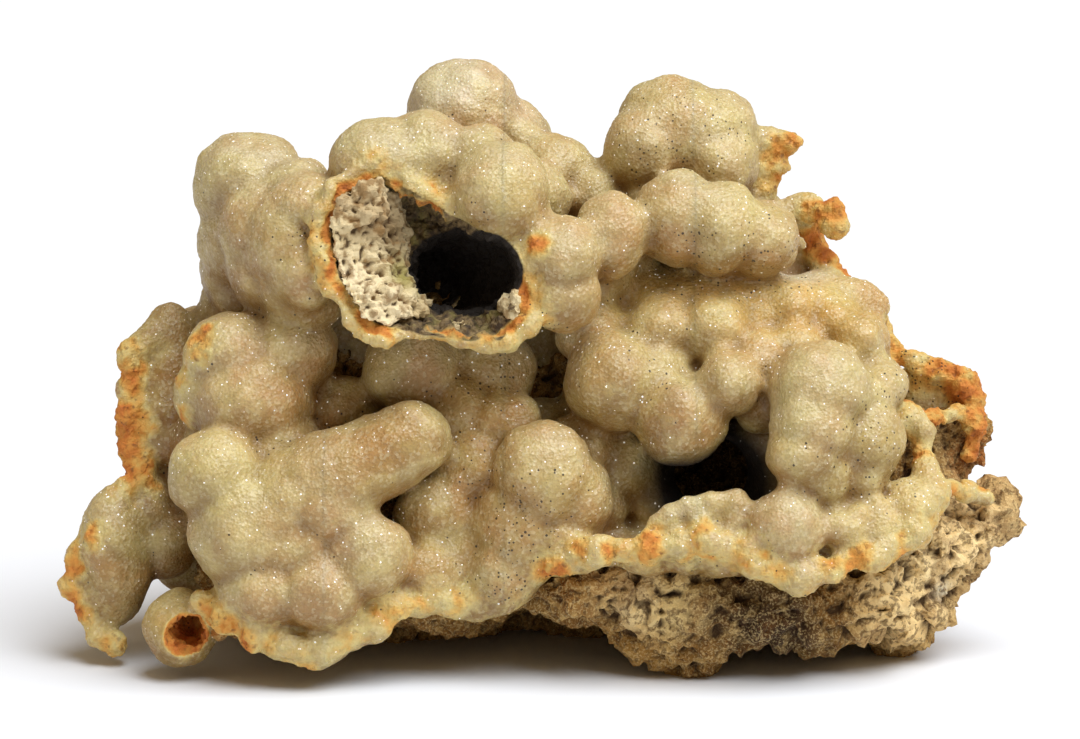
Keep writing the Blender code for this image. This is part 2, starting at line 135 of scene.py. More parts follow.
CENTRE_BALLS = (
    ((1, -36, 43), (10.5, 10, 11.5)),
    ((7, -34, 38), (8.6, 9, 10)),
    ((-4, -35, 31), (10, 9.5, 12)),
    ((-8, -36, 23), (7.8, 8, 8.5)),
    ((5, -36, 30), (7.5, 8, 8)),
    ((-26.5, -21, 62.8), (10.5, 10, 10)),
    ((-41, -18.5, 53.6), (7.4, 8, 7.4)),
    ((-21, -30, 33), (9.5, 8, 10)),
    ((-23, -35, 22), (9, 8, 8)),
    ((-15, -31, 24), (9, 9, 9)),
    ((-29, -33, 21), (8, 8, 7)),
    ((-10, -18, 62), (9.5, 8, 9)),
    ((-8, -25, 52), (8.5, 8, 8)),
    ((-16, -24, 53), (8, 7.5, 9)),
    ((-14, -28, 44), (9, 8, 9)),
)
LEFT_BALLS = (
    ((-67, -37, 43.5), (10.2, 10, 10)),
    ((-60, -38, 32.5), (13, 12.5, 13)),
    ((-43.5, -38, 38), (11, 11, 10.5)),
    ((-51, -38, 30), (11.5, 11, 11)),
    ((-56, -41, 20.5), (11, 9.5, 8.5)),
    ((-35.5, -42, 27.5), (9.4, 9, 9.4)),
    ((-44.5, -43.5, 21), (9, 9, 8.6)),
    ((-64.5, -24, 66.5), (10, 10, 8.6)),
    ((-52, -22, 66.5), (10.5, 10, 9.2)),
    ((-60, -26, 57), (13, 12, 12)),
    ((-55, -28, 47), (9.5, 9.5, 9.5)),
    ((-69, -24, 58), (7, 8, 9)),
    ((-89.5, -18, 22), (8, 9, 15)),
    ((-83, -13, 31), (6, 7, 8)),
    ((-79, -15, 24), (6, 7, 7)),
    ((-74.5, -34, 10.5), (7.5, 9, 8)),
)
RIM_BALLS = (
    ((50.2, -43.5, 34), (8.2, 8, 8.2)),
    ((63, -40, 32.5), (5.8, 6, 5.8)),
    ((70, -38, 32.5), (5.4, 6, 5.4)),
    ((77, -34, 36.5), (5.8, 7, 6)),
    ((34.5, -41, 35), (4.2, 4.5, 4.2)),
    ((40, -41, 35), (4.6, 5, 4.6)),
    ((29, -40, 34), (4.0, 4.5, 4.0)),
    ((57, -38, 33), (5, 6, 5)),
    ((83, -5, 55), (9, 4.5, 7.5)),
)
# The inside of the cave, seen between the lumps
CAVE_BALLS = (
    ((8, -24, 45.5), (8.6, 9, 8.6)),
    ((17.5, -20, 42), (9.4, 10, 9.4)),
    ((24, -22, 34.5), (6.4, 7, 6.4)),
    ((11, -27, 35.5), (7.4, 8, 7.4)),
    ((12, -12, 52), (9, 9, 9)),
    ((47, -18, 47), (6.4, 8, 7)),
    ((50, -20, 38), (6, 8, 6)),
)
# Lumps on the far side of the crest, where the crust ends against the rock
BACK_BALLS = (
    ((-58, 8, 76), (12, 11, 11)),
    ((-42, 10, 84), (12, 11, 12)),
    ((-25, 10, 92), (12, 11, 11)),
    ((-9, 14, 98), (10, 10, 9)),
    ((8, 10, 92), (10, 10, 9)),
    ((26, 11, 96), (12, 11, 11)),
    ((43, 9, 88), (11, 10, 11)),
    ((56, 6, 76), (9, 9, 11)),
    ((-72, 8, 60), (9, 10, 12)),
    ((-80, 6, 42), (8, 9, 13)),
    ((-84, 2, 24), (8, 9, 10)),
)
# What is behind the lumps and joins them
CORE_BALLS = (
    ((-34, 2, 60), (42, 14, 38)),
    ((32, 2, 68), (31, 13, 31)),
    ((-58, -14, 42), (19, 14, 25)),
    ((0, -14, 36), (14, 11, 20)),
    ((36, -11, 72), (27, 14, 12)),
    ((56, -10, 72), (14, 11, 9)),
    ((62, -14, 56), (13, 13, 18)),
    ((38, -24, 26), (42, 20, 5)),
    ((60, -10, 74), (14, 6, 8)),
    ((-75, -2, 38), (13, 10, 28)),
)
FINGERS = (
    ((-26, -38, 51), (-46, -38, 41), 8.5, 10.5),
    ((-46, -38, 41), (-58, -37, 33), 10.5, 11),
    ((-78.5, -2, 68), (-79.5, -7, 46), 6, 7.5),
    ((-86, -9, 64), (-78, -3, 70), 3.2, 4.5),
    ((44, 3, 107.5), (53.5, 4, 107), 3.4, 2.0),
    ((44, 3, 102), (51, 4, 102.5), 3.4, 2.4),
    ((43, 3, 97), (49, 4, 97.5), 3.6, 2.6),
    ((48, -6, 92), (57, -6, 95.5), 4.5, 3),
)
# Broken edges of the crust: each is a path of points and the half thickness of the crust
RIM_PATH = (
    (3, -42, 26), (9, -43, 28), (18, -45, 29.5), (28, -46, 31), (36, -46, 31),
    (42, -47, 31), (44.5, -48, 26.5), (50, -47, 24.5), (60, -46, 25.5), (70, -43, 27.5),
    (77, -39, 32), (81.5, -34, 38), (80, -26, 46), (76, -24, 54),
)
SKIRT_PATH = (
    (-69, -40, 17), (-62, -43, 15), (-56, -45, 11), (-50, -46, 8.5), (-47, -46, 7.5),
    (-42, -45, 10), (-37, -44, 12.5), (-31, -43, 16), (-24, -40, 17.5), (-14, -38, 17),
    (-5, -38, 17),
)
RIGHT_EDGE_PATH = (
    (56, -4, 91), (59, -5, 84), (66, -6, 77), (71, -7, 70), (75, -8, 64), (82, -9, 61),
    (88, -10, 60), (91, -11, 55), (92, -12, 49), (91, -12, 44),
)
CUP_LEDGE_PATH = ((76, -22, 54), (82, -20, 52.5), (90, -13, 52))
CORNER_PATH = ((81.5, -30, 41), (86, -24, 38), (94, -18, 35.5))
STUB_PATH = ((57, -8, 94), (61.5, -10, 95), (62, -11, 91))
LEFT_EDGE_PATH = (
    (-86, -9, 64), (-86, -10, 58), (-86, -11, 51), (-87, -12, 45), (-84, -14, 40),
)
LEFT_SHELL_PATH = (
    (-85, -16, 39), (-92, -18, 30), (-97, -20, 22), (-99, -21, 17.5), (-96, -22, 11),
    (-93, -23, 6.5), (-89, -24, 4.5),
)
EDGE_PATHS = (
    (RIM_PATH, 3.2), (SKIRT_PATH, 3.4), (RIGHT_EDGE_PATH, 2.4), (CUP_LEDGE_PATH, 2.0),
    (CORNER_PATH, 2.3), (STUB_PATH, 2.2), (LEFT_EDGE_PATH, 2.8), (LEFT_SHELL_PATH, 2.6),
)

# The mouth of the broken tube, as its lip runs round: across, depth, up
MOUTH_LIP = (
    (-42, -33, 104), (-45.5, -35, 97), (-45, -38, 90), (-44, -40, 85), (-40, -42, 79),
    (-36, -43, 74), (-31.5, -44, 73), (-25, -44, 75), (-19, -44, 73.5), (-12, -43, 71.5),
    (-6, -42, 72), (-1, -40, 77), (-2.5, -37, 86), (-6, -34, 92), (-12, -33, 93),
    (-19, -32, 98), (-27, -30, 104), (-34, -30, 107),
)
LIP_WALL = 2.4
BARREL_DEPTH = 30.0
BOWL_DEPTH = 14.0
# The void runs on from the bowl: two fingers side by side make it wider than high
VOID_FINGERS = (
    ((-18.5, -46, 87), (-19, -26, 84), 7.4, 7.4),
    ((-11, -46, 87), (-13, -26, 84), 7.4, 7.4),
    ((-16, -26, 84), (-24, -9, 79), 8.2, 6.0),
)
STUB_HOLE = ((-73, -46, 10.5), (-72.5, -30, 11.5), 4.6, 2.8)
# The cave goes in under the dome. A wider finger of quartz, which starts further in, lines it
CAVE_FINGERS = (
    ((27, -34, 43), (45, -34, 42), 3, 3),
    ((36, -26, 39.5), (36, 2, 41), 9.2, 5.5),
)
CAVE_LINER = ((36, -13, 39), (36, 3, 41), 12.5, 9.5)
CHALK_BALLS = (
    ((-46, -25, 87), (20, 15, 24)),
    ((-36, -28, 78), (14, 12, 7)),
)

# The rock that the quartz grew on
ROCK_BALLS = (
    ((-28, 14, 40), (45, 32, 43)),
    ((34, 16, 42), (45, 30, 44)),
    ((2, 22, 64), (40, 23, 34)),
    ((-62, 8, 34), (20, 24, 30)),
    ((66, 8, 34), (23, 24, 28)),
    ((-50, -14, 17), (22, 16, 11)),
    ((-18, -14, 17), (20, 18, 11)),
    ((30, -27, 15), (19, 17, 13)),
    ((10, -29, 19), (14, 14, 8)),
    ((50, -27, 15), (16, 17, 10)),
    ((66, -26, 16), (13, 14, 10)),
    ((76, -14, 16), (14, 15, 13)),
    ((82, -12, 24), (11, 13, 12)),
    ((91, -12, 28), (9, 8, 7)),
    ((85, -8, 43), (8, 6, 8)),
    ((91, -9, 46), (5, 5, 5)),
    ((29, -29, 5), (8, 7, 6.5)),
    ((76, -9, 5), (7, 7, 6)),
    ((58, 22, 8), (26, 18, 12)),
    ((-46, 18, 8), (28, 20, 12)),
    ((6, 20, 15), (40, 24, 18)),
)
ROCK_FINGERS = (
    ((-67, -34, 15), (-53, -36, 11), 4.5, 4.5),
    ((-66, -33, 14), (-56, -10, 20), 5, 9),
    ((-30, -33, 19), (-4, -32, 18), 5, 5),
    ((-20, -30, 18), (-10, 0, 20), 6, 10),
)
# Where the rock broke off flat when it was taken out: a place on the break and its outward side
ROCK_BREAKS = (
    ((0, 43, 40), (0.06, 1.0, 0.12)),
    ((-52, 34, 50), (-0.62, 0.75, 0.3)),
    ((60, 34, 46), (0.6, 0.76, 0.34)),
    ((5, 36, 78), (0.1, 0.7, 0.72)),
)
BREAK_FLATNESS = 0.8

# Tints of the crust: place, reach, colour, strength. The dark browns on the left shell and in the cave are
# painted shade
CRUST_SPOTS = (
    ((-62, -8, 104), 16, "CCC09A", 0.7),
    ((-56, -22, 86), 15, "C6A66C", 0.6),
    ((-49, -28, 90), 9, "D0BE78", 0.7),
    ((-16, -4, 116), 14, "F0E8CC", 0.95),
    ((-30, -28, 106), 12, "CCBE90", 0.7),
    ((-8, -36, 101), 11, "E0CC94", 0.8),
    ((4, -40, 84), 11, "CAB27C", 0.6),
    ((14, -30, 92), 10, "D4BE8C", 0.7),
    ((28, -6, 112), 15, "D8C48C", 0.8),
    ((38, -6, 108), 9, "DEC890", 0.7),
    ((28, -28, 94), 10, "D8C890", 0.7),
    ((40, -28, 92), 10, "D4BC80", 0.7),
    ((14, -34, 62), 13, "B08C50", 0.85),
    ((28, -40, 53), 11, "A07A4C", 0.9),
    ((38, -38, 64), 8, "C6AE7C", 0.6),
    ((56, -42, 60), 13, "DCCC98", 0.9),
    ((54, -46, 48), 9, "D8C690", 0.8),
    ((66, -38, 50), 10, "B49C60", 0.7),
    ((59, -42, 42), 8, "84642A", 0.95),
    ((40, -20, 77), 16, "E0B866", 0.95),
    ((60, -20, 72), 14, "DCB45E", 0.9),
    ((20, -20, 80), 12, "DAB464", 0.9),
    ((50, -47, 34), 9, "DCCEA4", 0.9),
    ((63, -44, 33), 9, "DCCA96", 0.8),
    ((76, -38, 38), 12, "E2CC88", 0.8),
    ((36, -44, 34), 9, "D0C49C", 0.8),
    ((1, -42, 42), 12, "C8AC74", 0.7),
    ((-4, -42, 28), 10, "A88C4E", 0.8),
    ((-61, -37, 38), 15, "CBBC7C", 0.8),
    ((-68, -42, 45), 10, "D6C480", 0.8),
    ((-58, -46, 24), 13, "CEB680", 0.7),
    ((-57, -32, 58), 13, "C89A5E", 0.8),
    ((-54, -30, 48), 10, "BA9460", 0.7),
    ((-30, -44, 48), 12, "A88442", 0.9),
    ((-36, -48, 30), 10, "BCB296", 0.9),
    ((-45, -50, 21), 9, "BEA67A", 0.8),
    ((-40, -24, 54), 9, "B8A67E", 0.8),
    ((-26, -28, 62), 11, "BCA878", 0.7),
    ((-9, -28, 56), 12, "B0873A", 0.9),
    ((-14, -34, 43), 10, "B08A40", 0.8),
    ((-20, -36, 31), 10, "A98A48", 0.8),
    ((-24, -38, 20), 9, "B8A25A", 0.7),
    ((-82, -12, 56), 14, "7E5A28", 0.95),
    ((-84, -14, 44), 11, "7A5224", 0.95),
    ((-80, -6, 62), 13, "86602E", 0.9),
    ((-78, -14, 50), 9, "7A5428", 0.9),
    ((-90, -24, 20), 14, "AC8E50", 0.8),
    ((-82, -16, 28), 9, "846430", 0.8),
    ((-76, -38, 11), 9, "CCAC5C", 0.8),
    ((12, -22, 42), 16, "7C6434", 0.9),
    ((24, -16, 38), 10, "6E5A34", 0.9),
    ((47, -20, 46), 9, "7E6A40", 0.8),
    ((-2, -10, 98), 12, "CCB070", 0.6),
    ((54, -12, 85), 6, "F4EEE2", 1.0),
)
# Rust on the crust away from its broken edges: place, reach, strength
RUST_SPOTS = (
    ((-1, -40, 92), 3.5, 1.0),
    ((-72, -31, 71), 6.0, 0.95),
    ((-75, -28, 62), 4.0, 0.8),
    ((-74, -28, 54), 3.5, 0.7),
    ((-86, -14, 60), 5.0, 1.0),
    ((-87, -14, 50), 6.0, 1.2),
    ((-85, -15, 41), 5.0, 1.3),
    ((-80, -18, 38), 4.0, 1.0),
    ((-93, -24, 28), 4.0, 0.9),
    ((-98, -22, 20), 4.0, 0.8),
    ((3, -44, 24), 5.5, 1.1),
    ((9, -46, 29), 4.0, 0.8),
    ((23, -47, 31), 5.0, 1.0),
    ((33, -47, 33), 4.0, 0.9),
    ((45, -48, 29), 3.0, 1.0),
    ((46, -48, 25), 3.0, 0.9),
    ((66, -45, 28), 4.0, 0.9),
    ((74, -42, 31), 3.0, 0.8),
    ((78, -38, 36), 4.0, 0.7),
    ((53, 3, 106), 8.0, 0.8),
    ((50, 3, 100), 6.0, 0.75),
    ((60, -10, 94), 5.0, 1.1),
    ((60, -6, 84), 4.0, 0.9),
    ((71, -8, 71), 5.0, 1.1),
    ((91, -14, 42), 6.0, 1.4),
    ((88, -16, 52), 6.0, 1.1),
    ((90, -10, 57), 7.0, 1.3),
    ((82, -8, 60), 6.0, 0.9),
    ((-42, -40, 8), 5.0, 0.6),
    ((-65, -44, 14), 5.0, 1.1),
    ((-73, -44, 11), 6.0, 0.6),
    ((14, -46, 29), 3.5, 0.9),
    ((38, -47, 31), 3.0, 0.9),
    ((-60, -46, 11), 3.5, 1.0),
    ((-30, -44, 15), 4.0, 0.8),
    ((-18, -40, 17), 4.0, 0.7),
)
# Dark dust on the crust: place, reach, strength
DUST_SPOTS = (
    ((-16, -10, 106), 8, 1.0),
    ((26, -12, 112), 10, 0.6),
    ((28, -12, 103), 10, 1.1),
    ((38, -10, 110), 8, 0.6),
    ((33, -30, 88), 8, 1.1),
    ((46, -27, 86), 9, 1.2),
    ((70, -40, 46), 8, 1.2),
    ((66, -42, 54), 6, 0.8),
    ((60, -44, 50), 7, 0.5),
    ((-3, -44, 34), 10, 1.1),
    ((-7, -44, 24), 8, 1.2),
    ((4, -44, 40), 6, 0.7),
    ((2, -36, 74), 6, 0.7),
    ((14, -20, 84), 6, 0.8),
    ((-8, -26, 62), 8, 0.8),
    ((-12, -32, 46), 8, 0.8),
    ((72, -30, 56), 8, 0.9),
    ((-26, -28, 56), 7, 0.8),
    ((-40, -26, 50), 6, 0.7),
    ((-60, -34, 46), 7, 0.4),
    ((24, -38, 66), 8, 0.5),
    ((50, -14, 84), 9, 1.0),
    ((34, -18, 82), 7, 0.8),
    ((80, -10, 60), 9, 1.2),
    ((-48, -34, 92), 5, 0.7),
    ((-12, -34, 97), 6, 0.6),
)
# Tints of the rock: place, reach, colour, strength. The near-black spots low under the rim and the dark spot
# in the cave are painted shade; the cream spots low on the right are partly the rock's pale colour and
# partly painted light
ROCK_SPOTS = (
    ((20, -44, 19), 9, "F4DCA4", 0.95),
    ((30, -44, 16), 9, "E8CC88", 0.9),
    ((12, -44, 22), 7, "B98A44", 0.7),
    ((40, -42, 24), 7, "C69A4C", 0.7),
    ((43, -40, 12), 14, "2C1A04", 1.0),
    ((52, -40, 12), 11, "362006", 1.0),
    ((34, -40, 6), 8, "8A6226", 0.8),
    ((62, -40, 17), 7, "9C7232", 0.8),
    ((74, -34, 18), 10, "FFE0A0", 1.0),
    ((82, -28, 22), 13, "FFE6AC", 1.0),
    ((90, -20, 28), 12, "FFE0A4", 1.0),
    ((76, -28, 8), 10, "FAD898", 1.0),
    ((84, -24, 16), 3, "C4C2B0", 0.8),
    ((86, -14, 46), 7, "A08450", 0.8),
    ((93, -14, 42), 6, "A8541E", 1.0),
    ((0, -40, 10), 14, "6A4A18", 0.8),
    ((-62, -40, 12), 12, "B0682A", 0.9),
    ((-20, -38, 12), 14, "6E4C1E", 0.8),
    ((30, -2, 44), 22, "3E2E18", 0.9),
    ((0, 40, 60), 60, "98783F", 0.4),
    ((-50, 30, 40), 30, "A5874E", 0.5),
)
# Small knobs on the lower rim, and three larger ones that fill the gap under it
RIM_KNOBS = (
    ((27, -43, 36.4), (2.8, 2.8, 2.8)),
    ((30.5, -43, 37.9), (3.1, 3.1, 3.1)),
    ((35, -42.5, 38.4), (3.2, 3.2, 3.2)),
    ((39.7, -42, 38.8), (3.5, 3.5, 3.4)),
    ((60.7, -43, 33.8), (3.8, 3.6, 3.6)),
    ((65, -41, 35.2), (3.4, 3.4, 3.4)),
    ((69.3, -39, 36.4), (3.2, 3.2, 3.2)),
    ((33, -45, 34.6), (2.6, 2.6, 2.6)),
    ((24, -43, 34.5), (2.4, 2.4, 2.4)),
    ((22, -41, 27), (6, 5, 4)),
    ((30, -41, 27), (6, 5, 4)),
    ((37, -41.5, 27), (6, 5, 4.5)),
)
# More chalk, low in the bowl
CHALK_DRIFTS = (
    ((-39, -32, 77.5), (16, 14, 10)),
    ((-41, -30, 100), (10, 12, 9)),
    ((-21, -36, 71.5), (16, 9, 4.5)),
    ((-3.5, -37, 78), (4.5, 7, 6)),
)
# Tints of the chalk: place, reach, colour, strength
CHALK_SPOTS = (
    ((-27, -34, 85), 5.0, "9A9040", 0.9),
    ((-30, -32, 93), 6.0, "6E5630", 0.9),
    ((-41, -36, 80), 8.0, "FFF2D2", 0.9),
    ((-34, -38, 76), 7.0, "FFF0CC", 0.9),
    ((-36, -34, 98), 6.0, "8E6C3E", 0.8),
    ((-43, -34, 101), 5.0, "8E6430", 0.8),
    ((-22, -36, 74), 6.0, "9A7A3A", 0.9),
)

# How the fine skin is made, in millimetres
BALLS_PER_BATCH = 24
# The balls of a finger stand this share of its smaller radius apart
FINGER_STEP = 0.45
# Thickness of the mouth's lip, and how far in front of it the bowl is cut from
LIP_RADIUS = 1.9
BOWL_FORWARD = 4.0
# Size of the far end of the barrel and of the bowl, as a share of the mouth
BARREL_NARROWING = 0.8
BOWL_NARROWING = 0.72
# Mesh sizes of the first skins, and of the finished chalk
CUTTER_SKIN = 1.2
ROCK_FIRST_SKIN = 1.5
CRUST_FIRST_SKIN = 0.9
CHALK_FIRST_SKIN = 0.8
CHALK_SKIN = 0.5
# A broken edge swells and wavers along its run: over what length, and how far
EDGE_SWELL = (2.4, 0.6)
EDGE_WAVER = (3.4, 1.8)
# Without a seed of its own the waver would start from the clock, and differ from run to run
EDGE_SEED = 1
# Small knobs all over the crust
KNOB_SPACING = 6.5
KNOB_HEIGHT = 1.3
# The cave's mouth is rounded off along this line, as far as the reach
CAVE_MOUTH = ((36, -30, 40), (36, -14, 40))
CAVE_MOUTH_REACH = 17.0
CAVE_MOUTH_ROUNDS = 40
# Where the fine crust is parted along X, so that no piece is too large
CRUST_WALLS = (-44.0, -7.5, 32.0)

# How rusty each of the broken edges is, in the order of their paths
EDGE_RUST = (0.85, 0.8, 1.3, 1.2, 0.7, 1.3, 1.3, 0.95)
# The part of the mouth's lip that stays free of rust: place, reach, strength
CLEAN_LIP = (((-12, -33, 95), 8, 1.0),)
# How strongly the bowl, the void, the stub's hole and the cave mark the crust, and how far
# The marks of the void and the cave become painted deep shade, near black
HOLLOW_MARKS = ((1.6, 1.0), (1.6, 1.2), (1.5, 1.0), (0.75, 8.0))
# Rust and dust come in patches of two sizes
PATCH_SIZES = (6.0, 2.4)
# Colour of the painted shade on the crust's undersides
UNDERSIDE_SHADE_COLOUR = "8C6A2C"
ROCK_COLOUR = "A47A38"
CHALK_COLOUR = "E6D4A8"

# Relief of the pieces: the size of its features, and their height or depth
CRUST_CRUMBS = (1.9, 0.8)
CRUST_CLODS = (4.2, 2.6)
ROCK_CLODS = (9.0, 5.4)
ROCK_KNOBS = (3.4, 2.0)
ROCK_PITS = (2.4, -3.5)
ROCK_GRIT = (1.5, 0.9)
CHALK_CLODS = (5.0, 3.4)
CHALK_PITS = (2.6, -4.0)
CHALK_CRUMBS = (1.1, 0.8)


class SpecimenSettings(bpy.types.PropertyGroup):
    """Sizes and colours of the specimen."""
    skin: FloatProperty(
        name="Skin fineness", description="Size of the mesh that the crust's skin is made of",
        default=0.57 * MM, min=0.4 * MM, max=3 * MM, subtype="DISTANCE", unit="LENGTH")
    grain: FloatProperty(
        name="Grain size", description="Distance between the sugary crystals of the crust",
        default=1.2 * MM, min=0.4 * MM, max=5 * MM, subtype="DISTANCE", unit="LENGTH")
    grain_height: FloatProperty(
        name="Grain height", description="How far the crystals stand out of the crust",
        default=0.18 * MM, min=0.0, max=2 * MM, subtype="DISTANCE", unit="LENGTH")
    rock_skin: FloatProperty(
        name="Rock fineness", description="Size of the mesh that the rock's surface is made of",
        default=0.95 * MM, min=0.5 * MM, max=3 * MM, subtype="DISTANCE", unit="LENGTH")
    seed_shift: FloatProperty(
        name="Pattern shift", description="Moves the grains and the roughness along, for another specimen",
        default=0.0, min=0.0, max=1000.0)
    quartz_colour: FloatVectorProperty(
        name="Quartz", description="Colour of the clean crust", subtype="COLOR",
        default=(0.60, 0.475, 0.245), min=0.0, max=1.0)


class StudioSettings(bpy.types.PropertyGroup):
    """Light and camera of the plain studio."""
    elevation: FloatProperty(
        name="Camera height", description="Angle of the camera above the level", subtype="ANGLE",
        default=math.radians(10.0))
    distance: FloatProperty(
        name="Camera distance", description="From the lens to the specimen", subtype="DISTANCE",
        unit="LENGTH", default=1.0)
    lens: FloatProperty(name="Lens", description="Focal length in millimetres", default=156.6)
    sky: FloatProperty(name="Sky light", description="Even light from all round", default=0.28)
    lamp: FloatProperty(name="Lamp light", description="Strength of the large soft lamp", default=3.6)
    softness: FloatProperty(
        name="Softness", description="Angle that the soft lamp covers", subtype="ANGLE",
        default=math.radians(50.0))


def linear(hex_colour):
    """The linear colour of an sRGB hex value."""
    values = [int(hex_colour[i:i + 2], 16) / 255 for i in (0, 2, 4)]
    return tuple(v / 12.92 if v <= 0.04045 else ((v + 0.055) / 1.055) ** 2.4 for v in values)


# Shapes


def merge_in(whole, part):
    """Adds one bmesh to another and frees it."""
    data = bpy.data.meshes.new("part")
    part.to_mesh(data)
    part.free()
    whole.from_mesh(data)
    bpy.data.meshes.remove(data)


def add_balls(whole, balls):
    """Adds balls to a bmesh in small batches, since each new ball costs more in a larger one."""
    for start in range(0, len(balls), BALLS_PER_BATCH):
        batch = bmesh.new()
        for middle, radii in balls[start:start + BALLS_PER_BATCH]:
            place = Matrix.Translation(Vector(middle)) @ Matrix.Diagonal((*radii, 1.0))
            steps = 4 if max(radii) > 6 else 3
            bmesh.ops.create_icosphere(batch, subdivisions=steps, radius=1.0, matrix=place)
        merge_in(whole, batch)


def add_hull(whole, points):
    """Adds the tight wrapping of some points to a bmesh."""
    mesh = bmesh.new()
    for point in points:
        mesh.verts.new(point)
    bmesh.ops.convex_hull(mesh, input=mesh.verts[:])
    inside = [vertex for vertex in mesh.verts if not vertex.link_faces]
    bmesh.ops.delete(mesh, geom=inside, context="VERTS")
    bmesh.ops.recalc_face_normals(mesh, faces=mesh.faces[:])
    merge_in(whole, mesh)


def finger_balls(start, end, start_radius, end_radius):
    """A run of balls close enough together to blend into one rounded finger."""
    start, end = Vector(start), Vector(end)
    step = FINGER_STEP * min(start_radius, end_radius)
    count = max(2, math.ceil((end - start).length / step))
    balls = []
    for i in range(count + 1):
        share = i / count
        radius = start_radius + (end_radius - start_radius) * share
        balls.append((tuple(start.lerp(end, share)), (radius,) * 3))
    return balls


def all_finger_balls(fingers):
    return [ball for finger in fingers for ball in finger_balls(*finger)]


def ragged_path_balls(points, radius, shift):
    """Balls along a broken edge, whose thickness and line waver."""
    balls = []
    for middle, _ in all_finger_balls((*ends, radius, radius) for ends in zip(points, points[1:])):
        place = Vector(middle) + Vector((shift, 0, 0))
        size = radius * (0.95 + EDGE_SWELL[1] * noise.noise(place / EDGE_SWELL[0]))
        waver = noise.noise_vector(place / EDGE_WAVER[0]) * EDGE_WAVER[1]
        balls.append((tuple(Vector(middle) + waver), (size,) * 3))
    return balls


def barrel_points(lip, depth, narrow):
    """The lip and the same outline shrunk and moved away: their wrapping is a barrel."""
    lip = np.array(lip, float)
    middle = lip.mean(axis=0)
    back = middle + (lip - middle) * narrow + np.array((0, depth, 0))
    return np.concatenate((lip, back))


def inner_lip(lip, wall, forward):
    """The lip moved inwards by the thickness of its wall, and forward."""
    lip = np.array(lip, float)
    out = (lip - lip.mean(axis=0)) * np.array((1, 0, 1))
    out /= np.linalg.norm(out, axis=1)[:, None]
    return lip - out * wall - np.array((0, forward, 0))


def object_from(name, mesh):
    """Makes a bmesh an object of the scene and frees it."""
    data = bpy.data.meshes.new(name)
    mesh.to_mesh(data)
    mesh.free()
    obj = bpy.data.objects.new(name, data)
    bpy.context.scene.collection.objects.link(obj)
    return obj


def piled(name, balls, hulls=()):
    """An object of balls and hulls laid out in millimetres, in its place and in metres."""
    mesh = bmesh.new()
    add_balls(mesh, balls)
    for points in hulls:
        add_hull(mesh, points)
    bmesh.ops.translate(mesh, vec=-Vector(CENTRE), verts=mesh.verts)
    bmesh.ops.scale(mesh, vec=(MM, MM, MM), verts=mesh.verts)
    return object_from(name, mesh)


def apply_modifiers(obj):
    graph = bpy.context.evaluated_depsgraph_get()
    made = bpy.data.meshes.new_from_object(obj.evaluated_get(graph))
    old = obj.data
    obj.modifiers.clear()
    obj.data = made
    bpy.data.meshes.remove(old)


def blend_skin(obj, voxel, smoothing):
    """Blends all that overlaps in one closed skin, whose mesh is as fine as the voxel."""
    remesh = obj.modifiers.new("one_skin", "REMESH")
    remesh.mode = "VOXEL"
    remesh.voxel_size = voxel
    if smoothing:
        smooth = obj.modifiers.new("round_creases", "SMOOTH")
        smooth.factor = 0.5
        smooth.iterations = smoothing
    apply_modifiers(obj)


def cut(obj, other, operation="DIFFERENCE"):
    away = obj.modifiers.new("cut", "BOOLEAN")
    away.operation = operation
    away.object = other
    away.solver = "MANIFOLD"
    apply_modifiers(obj)


def discard(*objects):
    for obj in objects:
        bpy.data.objects.remove(obj)


def split_across(obj, walls):
    """Cuts a closed mesh into closed slabs at the given places along X."""
    slabs = []
    bounds = [-math.inf, *walls, math.inf]
    for low, high in zip(bounds, bounds[1:]):
        mesh = bmesh.new()
        mesh.from_mesh(obj.data)
        for wall, side in ((low, -1), (high, 1)):
            if math.isinf(wall):
                continue
            geometry = mesh.verts[:] + mesh.edges[:] + mesh.faces[:]
            made = bmesh.ops.bisect_plane(
                mesh, geom=geometry, plane_co=((wall - CENTRE[0]) * MM, 0, 0),
                plane_no=(side, 0, 0), clear_outer=True)
            rim = [e for e in made["geom_cut"] if isinstance(e, bmesh.types.BMEdge)]
            bmesh.ops.holes_fill(mesh, edges=rim)
        bmesh.ops.triangulate(mesh, faces=[f for f in mesh.faces if len(f.verts) > 4])
        slabs.append(object_from(obj.name, mesh))
    return slabs


# Points of a mesh as arrays


def places(obj):
    """The points of a mesh in the layout's millimetres."""
    flat = np.empty(len(obj.data.vertices) * 3, np.float32)
    obj.data.vertices.foreach_get("co", flat)
    return flat.reshape(-1, 3).astype(float) / MM + np.array(CENTRE)


def outward(obj):
    """The direction away from the surface at each point."""
    flat = np.empty(len(obj.data.vertices) * 3, np.float32)
    obj.data.vertex_normals.foreach_get("vector", flat)
    return flat.reshape(-1, 3).astype(float)


def put(obj, points):
    """Moves the points of a mesh to these places in the layout."""
    flat = ((points - np.array(CENTRE)) * MM).astype(np.float32).reshape(-1)
    obj.data.vertices.foreach_set("co", flat)
    obj.data.update()


def at_each(points, rule):
    return np.array([rule(Vector(p)) for p in points])


def fade(distance, reach):
    """One at a place, nothing past its reach, and smooth between."""
    share = np.clip(1.0 - distance / reach, 0.0, 1.0)
    return share * share * (3 - 2 * share)


def near_path(points, path, reach):
    """One on a path, nothing past the reach."""
    best = np.full(len(points), np.inf)
    for start, end in zip(path, path[1:]):
        start, end = np.array(start, float), np.array(end, float)
        along = end - start
        share = np.clip(((points - start) @ along) / (along @ along), 0, 1)
        best = np.minimum(best, np.linalg.norm(points - start - share[:, None] * along, axis=1))
    return fade(best, reach)


def near_spots(points, spots):
    """The strongest of the spots at each point."""
    found = np.zeros(len(points))
    for place, reach, strength in spots:
        away = np.linalg.norm(points - np.array(place), axis=1)
        found = np.maximum(found, strength * fade(away, reach * 1.5))
    return found


